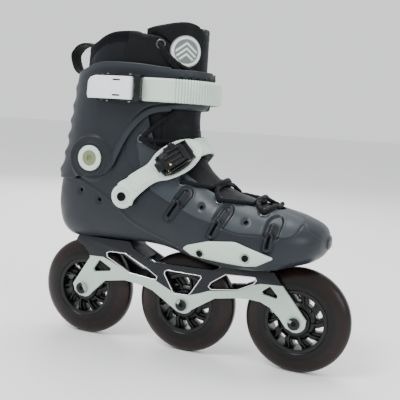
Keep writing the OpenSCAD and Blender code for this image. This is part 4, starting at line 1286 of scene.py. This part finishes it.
take(join("eyelet_rings", [eyelet(s, k * t, 2.5, 4.7, 0.95, -0.9) for k in (-1, 1) for s, t in EYELETS]),
     "boot", "eyelet", "shell_eyelets")
s, t = COLLAR_EYELET
take(join("collar_eyelet_rings", [eyelet(s, k * t, 3.1, 5.2, -4.2, -6.4) for k in (-1, 1)]),
     "cuff", "eyelet", "collar_eyelets")


# ---------------------------------------------------------------- straps
SLOPE = math.radians(38.8)
STRAP_AT = (-62.4, 168.6)


def strap_space(u, y, v):
    c, q = math.cos(SLOPE), math.sin(SLOPE)
    return np.stack([STRAP_AT[0] + c * u - q * v, y, STRAP_AT[1] + q * u + c * v], -1)


def cuff_space(u, y, v):
    return np.stack([-64.5 + u, y, v], -1)


def bent(t, a, b, n, d):
    """A point and its outward offset on the band's curve; beyond 90 degrees it runs straight back."""
    t = np.asarray(t, float)
    over = np.maximum(np.abs(t) - 90, 0)
    w = np.radians(np.clip(t, -89.99, 89.99))

    def at(w):
        return np.stack([a * np.abs(np.cos(w)) ** (2 / n), b * np.sign(np.sin(w)) * np.abs(np.sin(w)) ** (2 / n)], -1)
    p, e = at(w), 0.004
    tangent = at(np.minimum(w + e, math.pi / 2)) - at(np.maximum(w - e, -math.pi / 2))
    tangent /= np.maximum(np.linalg.norm(tangent, axis=-1, keepdims=True), 1e-9)
    normal = np.stack([tangent[..., 1], -tangent[..., 0]], -1)
    p = p + normal * np.asarray(d)[..., None]
    p[..., 0] -= over
    return p[..., 0], p[..., 1]


ARM = [(2, -11.8), (9, -9.8), (20, -8.2), (32, -7.6), (42, -8.8), (53, -13.8), (65, -16.6), (75, -16.8), (83, -14),
       (89, -9.6), (92, -4), (92, 4), (89, 9.6), (83, 13.6), (75, 16), (65, 16.8), (55, 15.6), (43, 11.6), (30, 12.4),
       (20, 13), (15.5, 12.2), (2, 11.8)]
ARM_WINDOW = [(49, -1), (52, -9), (60, -12.8), (72, -13.4), (80, -10.4), (84.5, -4), (84.5, 4), (80, 10.4), (72, 13),
              (64, 13.4), (55, 10.5), (50, 5)]
ARM_STEP = [(17, -4.6), (30, -4.2), (42, -5), (47, -8), (45, 8), (42, 8.2), (30, 8.6), (17.5, 9.4)]
STRAP = (94.5, 46.2, 2.5)
STRAP_THICK, SCREW_HOLE = 2.2, 3.05


def t_of(u, a, n):
    """Angle at which the band's curve reaches u, on the lateral side."""
    return np.where(u >= 0, -np.degrees(np.arccos(np.clip(np.maximum(u, 0) / a, 0, 1) ** (n / 2))), -90 + u)


def arm_cut(par):
    u, v = par.T
    d = np.maximum(inside(curve(ARM, 5, True), u, v), 12.2 - np.hypot(u, v))
    d = np.minimum(d, -inside(curve(ARM_WINDOW, 5, True), u, v))
    return np.minimum(d, np.hypot(u, v) - SCREW_HOLE)


def arm_surface(outer):
    def f(par):
        u, v = par.T
        d = np.zeros(len(u))
        if outer:
            edge = arm_cut(par)
            r = np.hypot(u, v)
            d = 2.8 - 0.9 * step(-edge, -1.5, 0) ** 2
            d += 0.5 * step(-r, -6.2, -5.4) - 0.75 * step(-r, -9.6, -8.2)
            d += 1.1 * step(inside(curve(ARM_STEP, 5, True), u, v), -0.9, 0.9)
            d += 0.35 * bump(v - 2.5, 1.0) * step(u, 18, 22) * step(-u, -46, -42)
        return strap_space(*bent(t_of(u, STRAP[0], STRAP[2]), *STRAP, d), v)
    return f


take(wall("instep_arm", np.linspace(-13, 92.6, steps(230)), np.linspace(-18, 18, steps(80)), arm_cut,
          arm_surface(True), arm_surface(False), M_WHITE, round_=0.6), "boot", "strap_white", "strap_arm")


def cradle_surface(outer):
    def f(par):
        u, v = par.T
        d = 0.5 + 0 * u
        if outer:
            edge = inside(curve(ARM_WINDOW, 5, True), u, v)
            d = 2.5 + 0 * u + 0.9 * bump(edge - 2.2, 1.0) - 0.8 * step(-edge, -1.4, 0) ** 2
            for k in (9.6, -9.6):
                d -= 0.7 * bump(v - k, 0.7) * step(u, 58, 60) * step(-u, -76, -74)
        return strap_space(*bent(t_of(u, STRAP[0], STRAP[2]), *STRAP, d), v)
    return f


take(wall("buckle_cradle", np.linspace(48, 85, steps(90)), np.linspace(-14, 14, steps(66)),
          lambda q: inside(curve(ARM_WINDOW, 5, True), *q.T) - 0.35,
          cradle_surface(True), cradle_surface(False), M_DARKPLASTIC, round_=0.5), "boot", "buckle_black")


def run_length(t, a, b, n):
    grid = np.linspace(-90, 90, 721)
    u, y = bent(grid, a, b, n, 0 * grid)
    s = np.r_[0, np.cumsum(np.hypot(np.diff(u), np.diff(y)))]
    return np.interp(t, grid, s)


LADDER = (91.5, 46.2, 2.5)


def ladder_cut(par):
    t, v = par.T
    u, _ = bent(t, *LADDER, 0 * t)
    disc = np.where(t > 60, 12.2 - np.hypot(u, v), -99)
    band = np.minimum(9.5 - np.abs(v), np.minimum((t + 54) * 1.2, (92 - t) * 0.8))
    corner = 3 - np.hypot(np.maximum(3 - (9.5 - np.abs(v)), 0), np.maximum(3 - (t + 54) * 1.2, 0))
    band = np.minimum(band, corner)
    return np.minimum(np.maximum(band, disc), np.where(t > 60, np.hypot(u, v) - SCREW_HOLE, 99))


def ladder_surface(outer):
    def f(par):
        t, v = par.T
        d = np.zeros(len(t))
        if outer:
            s = run_length(t, *LADDER)
            d = STRAP_THICK + 0 * t
            d += 0.55 * step(np.abs(v), 6.6, 7.2) * step(-t, -66, -60)
            d -= 0.5 * (bump(v - 2.6, 0.5) + bump(v + 2.6, 0.5)) * step(-t, 8, 14)
            teeth = 0.5 + 0.5 * np.sin(2 * math.pi * s / 3.4)
            d += 0.7 * teeth * step(-np.abs(v), -6.3, -5.8) * step(t, -8, -4) * step(-t, -52, -46)
            d -= 0.5 * step(-ladder_cut(par), -1.2, 0) ** 2
        u, y = bent(t, *LADDER, d)
        return strap_space(u, y, v)
    return f


take(wall("instep_ladder", np.linspace(-54, 103, steps(420)), np.linspace(-12.4, 12.4, steps(56)), ladder_cut,
          ladder_surface(True), ladder_surface(False), M_WHITE, round_=0.6), "boot", "strap_white", "strap_ladder")

CUFF_STRAP = (82, 52, 2.3)
Z0, Z1 = 269, 292


def cuff_strap_cut(par):
    t, z = par.T
    ends = np.minimum(t + 110, 98 - t)
    side = np.minimum(z - Z0, Z1 - z)
    corner = 4 - np.hypot(np.maximum(4 - side, 0), np.maximum(4 - ends, 0))
    return np.minimum(np.minimum(ends, side), corner)


def cuff_strap_surface(outer):
    def f(par):
        t, z = par.T
        d = np.zeros(len(t))
        if outer:
            s = run_length(t, *CUFF_STRAP)
            first, pitch = float(run_length(-52, *CUFF_STRAP)), 3.05
            k = (s - first) / pitch
            groove = np.abs(k - np.round(k)) * pitch
            on = (k > -0.4) & (t < 2.5)
            d = STRAP_THICK + 0 * t
            d -= 1.2 * bump(groove, 0.5) * on
            d += 0.25 * on * np.cos(np.pi * np.clip(groove / pitch * 2, 0, 1) - np.pi)
            d += 0.35 * (bump(z - Z0 - 2.2, 0.8) + bump(z - Z1 + 2.2, 0.8)) * (~on)
            d -= 0.6 * step(-cuff_strap_cut(par), -1.3, 0) ** 2
            teeth = np.abs(k / 1.2 - np.round(k / 1.2)) * 2
            d += 0.6 * (t > 14) * (t < 60) * step(-teeth, -0.7, -0.4) * step(-np.abs(z - 280.5), -8, -7.4)
        u, y = bent(t, *CUFF_STRAP, d)
        return cuff_space(u, y, z)
    return f


take(wall("cuff_strap_band", np.linspace(-110, 98, steps(640)), np.linspace(Z0, Z1, steps(44)), cuff_strap_cut,
          cuff_strap_surface(True), cuff_strap_surface(False), M_WHITE, round_=0.6),
     "cuff", "strap_white", "cuff_strap")


LEVER_MIDDLE = (71.4, -49.3, 0)


def slab(a0, a1, v0, v1, h0, h1, bevel=0.35, material=M_DARKPLASTIC):
    """A low block on the instep lever: along it, across it, and above its face."""
    c, q = math.cos(SLOPE), math.sin(SLOPE)
    along = strap_space(0.866, 0.5, 0) - strap_space(0, 0, 0)
    inward = strap_space(-0.5, 0.866, 0) - strap_space(0, 0, 0)
    m = Matrix([[along[0], inward[0], -q, 0], [along[1], inward[1], 0, 0], [along[2], inward[2], c, 0], [0, 0, 0, 1]])
    m.translation = strap_space(*LEVER_MIDDLE)
    return stand(prism([(a0, v0), (a1, v0), (a1, v1), (a0, v1)], -h1, -h0, bevel, material), m)


# two long ribs, the housing's rails and cross-piece, and the tab's step
ribs = [slab(-8.5, 9.5, 1.6, 3.4, -0.8, 1.1), slab(-8.5, 9.5, -3.6, -1.8, -0.8, 1.1),
        slab(-2.5, 13.2, 6.4, 8.7, -1.2, 1.5), slab(-2.5, 13.2, -8.7, -6.4, -1.2, 1.5),
        slab(9.8, 13.4, -8.6, 8.6, -1.2, 1.8), slab(-11.0, -8.0, -5.6, 5.6, -1.5, 0.6)]
take(join("instep_lever_ribs", ribs), "strap_lever", "buckle_black")
flange = [slab(-3.5, 9.5, 8.6, 13.6, -8.0, -0.6, 0.8), slab(2.5, 8.0, 9.4, 15.2, -6.0, 0.2, 0.8)]
take(join("instep_buckle_flange", flange), "boot", "buckle_black")
take(join("instep_lever_rivet", [slab(-6.6, -4.2, -6.0, -3.9, -1.0, 0.9, 0.7, M_BRASS)]), "strap_lever", "buckle_black")

bar = prism([(-47.4, 267.2), (-41.4, 267.2), (-41.4, 293.7), (-47.4, 293.7)], -63.3, -57.0, 0.8, M_DARKPLASTIC)
bar.name = "cuff_buckle_guide"
take(shade(bar), "cuff", "buckle_black")


# ---------------------------------------------------------------- slide plates
SLIDER = [(9, 122), (14, 125.5), (38, 133.5), (66, 136.5), (104, 124), (88, 115), (77, 113.5), (18, 116)]
SLIDER_HOLES = [(6.36, 112.5), (4.66, 100.2)]


def slider_cut(par):
    x, y, z = surf(par[:, 0], par[:, 1], 1.8).T
    q = np.array(SLIDER, float)
    fine = []
    for a, b, c in zip(np.roll(q, 1, axis=0), q, np.roll(q, -1, axis=0)):
        fine += [b + (a - b) * 0.08, b + (a + c - 2 * b) * 0.02, b + (c - b) * 0.08]
    return np.minimum(inside(fine, x, z), np.abs(y) - 20)


def slider_outer(par):
    edge = slider_cut(par)
    p = surf(par[:, 0], par[:, 1])
    d = 3.4 - 1.1 * step(-edge, -2.4, 0) ** 2 + 0.35 * step(edge, 2.6, 3.4)
    for s, t in SLIDER_HOLES:
        for k in (-1, 1):
            r = np.linalg.norm(p - skin(s, k * t), axis=1)
            d -= 1.3 * step(-r, -5.2, -4.2)
    return surf(par[:, 0], par[:, 1], d)


for name, k in (("slide_plate_lateral", -1), ("slide_plate_medial", 1)):
    take(wall(name, np.linspace(3.2, 8.0, steps(190)), np.sort(k * np.linspace(60, 178, steps(120))), slider_cut,
              slider_outer, lambda q: surf(q[:, 0], q[:, 1], 0.15), M_SLIDER, round_=0.5, flip=True),
         "boot", "slider", "slider_lateral" if k < 0 else "slider_medial")


# ---------------------------------------------------------------- tongue badge: a plain ring and chevrons
BADGE_AT, BADGE_DEPTH, BADGE_R = (19.6, -38), -5.3, 16
BADGE = skin(*BADGE_AT, BADGE_DEPTH)


def badge_plane(par):
    p = surf(par[:, 0], par[:, 1], BADGE_DEPTH) - BADGE
    n = outward(*BADGE_AT)
    z = np.array([0, 0, 1.0])
    up = z - n * (n @ z)
    up /= np.linalg.norm(up)
    across = np.cross(up, n)
    return p @ across, p @ up


def badge_pattern(par):
    a, b = badge_plane(par)
    r = np.hypot(a, b)
    ring_ = step(r, 12.2, 12.7) * step(-r, -15.4, -14.9)
    chevron = 0 * r
    for k in (-5.5, 0, 5.5):
        e = b - k + np.abs(a) * 0.8 - 3
        chevron = np.maximum(chevron, step(-np.abs(e), -1.5, -1.0) * step(-r, -11.2, -10.6))
    return np.maximum(ring_, chevron)


def badge_outer(par):
    r = np.hypot(*badge_plane(par))
    return surf(par[:, 0], par[:, 1], -3.9 + 0.5 * badge_pattern(par) + 0.3 * bump(r - 14, 1.6))


take(wall("tongue_badge_disc", np.linspace(18.7, 20.6, steps(90)), np.linspace(-72, -4, steps(130)),
          lambda q: BADGE_R - np.hypot(*badge_plane(q)), badge_outer, lambda q: surf(q[:, 0], q[:, 1], BADGE_DEPTH),
          M_BADGE, tone=lambda q: 1 - badge_pattern(q), round_=0.6, flip=True), "cuff", "badge", "tongue_badge")


# ---------------------------------------------------------------- wheels
AXLES, AXLE_Z = (-123.5, 0, 123.5), 55
HUB_R, TYRE_DEPTH, FLAT, SHOULDER, SPOKES = 33, 22, 2, 10, 10


def tyre_profile():
    """Half an ellipse from bead to bead, with a narrow flat at the tread."""
    a = np.radians(-90 + 180 * np.arange(41) / 40)
    return np.stack([HUB_R + TYRE_DEPTH * np.cos(a), FLAT * np.sign(a) + SHOULDER * np.sin(a)], 1)


def tyre_tone(profile):
    r = profile[:, 0]
    return np.clip(step(-r, -43.5, -39) + 0.8 * step(r, 53.2, 54.6), 0, 1)


def hub_piece(place_, x0):
    """Rim, core dish and ten swept spokes with a rib on each."""
    rim = [(28.9, -11.2), (29.6, -11.6), (32.6, -11.6), (32.98, -11.2), (32.98, 11.2), (32.6, 11.6), (29.6, 11.6),
           (28.9, 11.2), (28.6, 6), (28.6, -6)]
    core = [(11.05, -11.4), (14.2, -11.5), (15.0, -10.8), (15.6, -8.2), (19.4, -6.4), (20.6, -5.0), (20.6, 5.0),
            (19.4, 6.4), (15.6, 8.2), (15.0, 10.8), (14.2, 11.5), (11.05, 11.4), (11.05, 4.9), (9.2, 4.9), (9.2, -4.9),
            (11.05, -4.9)]
    parts = [lathe("h", profile, (0, 0, 0), M_HUB, sides=SIDES // 2) for profile in (rim, core)]
    spoke = [(18.5, -4.6), (22, -4.6), (28.9, -1.2), (28.9, 8.8), (26, 7.4), (22.5, 4.2), (18.5, 3.0)]
    rib = [(14.4, -1.9), (20, -1.3), (28.9, 3.4), (28.9, 5.0), (20, 0.6), (14.4, 0.2)]
    for k in range(SPOKES):
        turn = Matrix.Rotation(-2 * math.pi * k / SPOKES, 4, "Y")
        parts.append(stand(prism(spoke, -5.6, 5.6, 0.8, M_HUB), turn))
        parts.append(stand(prism(rib, -9.4, 9.4, 0.35, M_HUB), turn))
    return shade(stand(join("hub_piece_" + place_, parts), Matrix.Translation((x0, 0, AXLE_Z))))


SIDES = 160
WHEELS = ("rear", "mid", "front")
profile = tyre_profile()
for x0, place_ in zip(AXLES, WHEELS):
    body = "wheel_" + place_
    take(lathe("tyre_ring_" + place_, profile, (x0, 0, AXLE_Z), M_TYRE, sides=SIDES, tone=tyre_tone(profile)), body,
         "tyre", "tyre_" + place_)
    take(hub_piece(place_, x0), body, "hub", "hub_" + place_)


# ---------------------------------------------------------------- frame, buckles and hardware from their CAD nodes
take(refined("frame", [M_FRAME, M_CUTEDGE], 0.55, bevel_material=1), "boot", "frame")
for node, material, bevel, body, slot in (
        ("strap_buckle_base", M_DARKPLASTIC, 0.35, "boot", "buckle_black"),
        ("strap_lever", M_DARKPLASTIC, 0.4, "strap_lever", "buckle_black"),
        ("strap_release", M_DARKPLASTIC, 0.35, "strap_release", "buckle_black"),
        ("cuff_buckle_base", M_DARKPLASTIC, 0.4, "cuff", "buckle_black"),
        ("cuff_lever", M_LEVER, 0.45, "cuff_lever", "lever_white"),
        ("cuff_catch", M_DARKPLASTIC, 0.3, "cuff_catch", "buckle_black"),
        ("strap_screws", M_BLACKSTEEL, 0.35, "boot", "screw_black"),
        ("slider_screws", M_BLACKSTEEL, 0.3, "boot", "screw_black"),
        ("cuff_pivot_bolts", M_OLIVE, 0.4, "cuff", "cap"),
        ("cuff_pivot_caps", M_WHITE, 0.7, "cuff", "cap"),
        ("cuff_rivets", M_STEEL, 0.35, "cuff", "brass_pin"),
        ("footbed", M_FOOTBED, 0.8, "boot", "footbed"),
        ("heel_pad", M_RUBBER, 0.6, "boot", "heel_pad")):
    take(refined(node, material, bevel), body, slot)


# ---------------------------------------------------------------- pull loop
LOOP = [(-131.6, 303), (-134.5, 296.5), (-140, 295), (-146, 297), (-150.8, 301.5), (-153.6, 307.5), (-155.2, 313),
        (-155.4, 318.2), (-152.6, 323), (-148.8, 327), (-144.5, 329.3), (-139.5, 330.4), (-135, 330.3), (-131.5, 328.6)]
LOOP_PATH = curve(LOOP, 8)
LOOP_DIR = np.gradient(LOOP_PATH, axis=0)
LOOP_OUT = np.stack([-LOOP_DIR[:, 1], LOOP_DIR[:, 0]], 1) / np.linalg.norm(LOOP_DIR, axis=1, keepdims=True)
if LOOP_OUT[len(LOOP_OUT) // 2, 0] > 0:
    LOOP_OUT = -LOOP_OUT


def loop_surface(d, crown=0.0):
    def f(par):
        k, y = par.T
        grid = np.arange(len(LOOP_PATH))
        p = np.stack([np.interp(k, grid, LOOP_PATH[:, i]) for i in (0, 1)], 1)
        n = np.stack([np.interp(k, grid, LOOP_OUT[:, i]) for i in (0, 1)], 1)
        off = (d + crown * (1 - (y / 10) ** 4))[:, None] if crown else d
        q = p + n * off
        return np.stack([q[:, 0], y, q[:, 1]], 1)
    return f


last = len(LOOP_PATH) - 1
webbing = patch(np.linspace(0, last, steps(150)), np.linspace(-9.5, 9.5, steps(40)))
take(thick("pull_loop_webbing", *webbing, loop_surface(0.0), loop_surface(-1.8), M_WEB, round_=0.5), "cuff", "webbing",
     "pull_loop")
tip = patch(np.linspace(last * 0.50, last * 0.93, steps(70)), np.linspace(-8, 8, steps(34)))
take(thick("pull_loop_tip", *tip, loop_surface(0.15, 1.6), loop_surface(0.05), M_RUBBER, round_=0.4), "cuff", "tip",
     "pull_tip")


# ---------------------------------------------------------------- bright edges of the frame's windows, and the axles
EDGE_Y, EDGE_R = 16.9, 0.62
WINDOWS = [[(-94, 99.7), (-89.5, 101.7), (-70.5, 101.7), (-43.2, 88.7), (-31, 81.4), (-32, 77.3), (-64, 80.6),
            (-93, 95.2)],
           [(-22, 88.7), (-19.5, 90.1), (19.7, 89.5), (20.3, 87.1), (9, 68.5), (6, 66), (-9.6, 65.6), (-12, 68.4),
            (-22.5, 85.5)],
           [(29, 79.2), (31.8, 84), (47.6, 95), (78.8, 96.4), (81, 93), (78.2, 89.1), (61.4, 80.5), (32.3, 76.6)]]
pieces = []
for w in WINDOWS:
    for k in (-1, 1):
        corners = np.array(w, float)
        path = np.vstack([np.linspace(a, c, 14, endpoint=False) for a, c in zip(corners, np.roll(corners, -1, axis=0))])
        path = np.stack([path[:, 0], np.full(len(path), EDGE_Y * k), path[:, 1]], 1)
        up = np.tile([0, 1.0, 0], (len(path), 1))
        pieces.append(tube("l", path, EDGE_R, M_CUTEDGE, sides=8, closed=True, up=up))
take(join("window_cut_edges", pieces), "boot", "frame")


SOCKET_R = 3.3
bolts = refined("axle_bolts", [M_HEAD, M_SOCKET_SHADE], 0.4)
for face in bolts.data.polygons:
    x, _, z = face.center / MM
    if min(math.hypot(x - a, z - AXLE_Z) for a in AXLES) < SOCKET_R:
        # faces inside the socket take the painted shade material
        face.material_index = 1
take(bolts, "boot", "axle")


paint(M_STEEL, "frame_bolts", "frame_washers", "bearing_inner_rings", "bearing_spacers", "cuff_buckle_pins",
      "cuff_catch_spring", "cuff_pivot_nuts")
paint(M_BRASS, "strap_buckle_pins")
for p in WHEELS:
    paint(M_STEEL, "bearing_rings_" + p, "bearing_balls_" + p)
    paint(M_SHIELD, "bearing_shields_" + p)
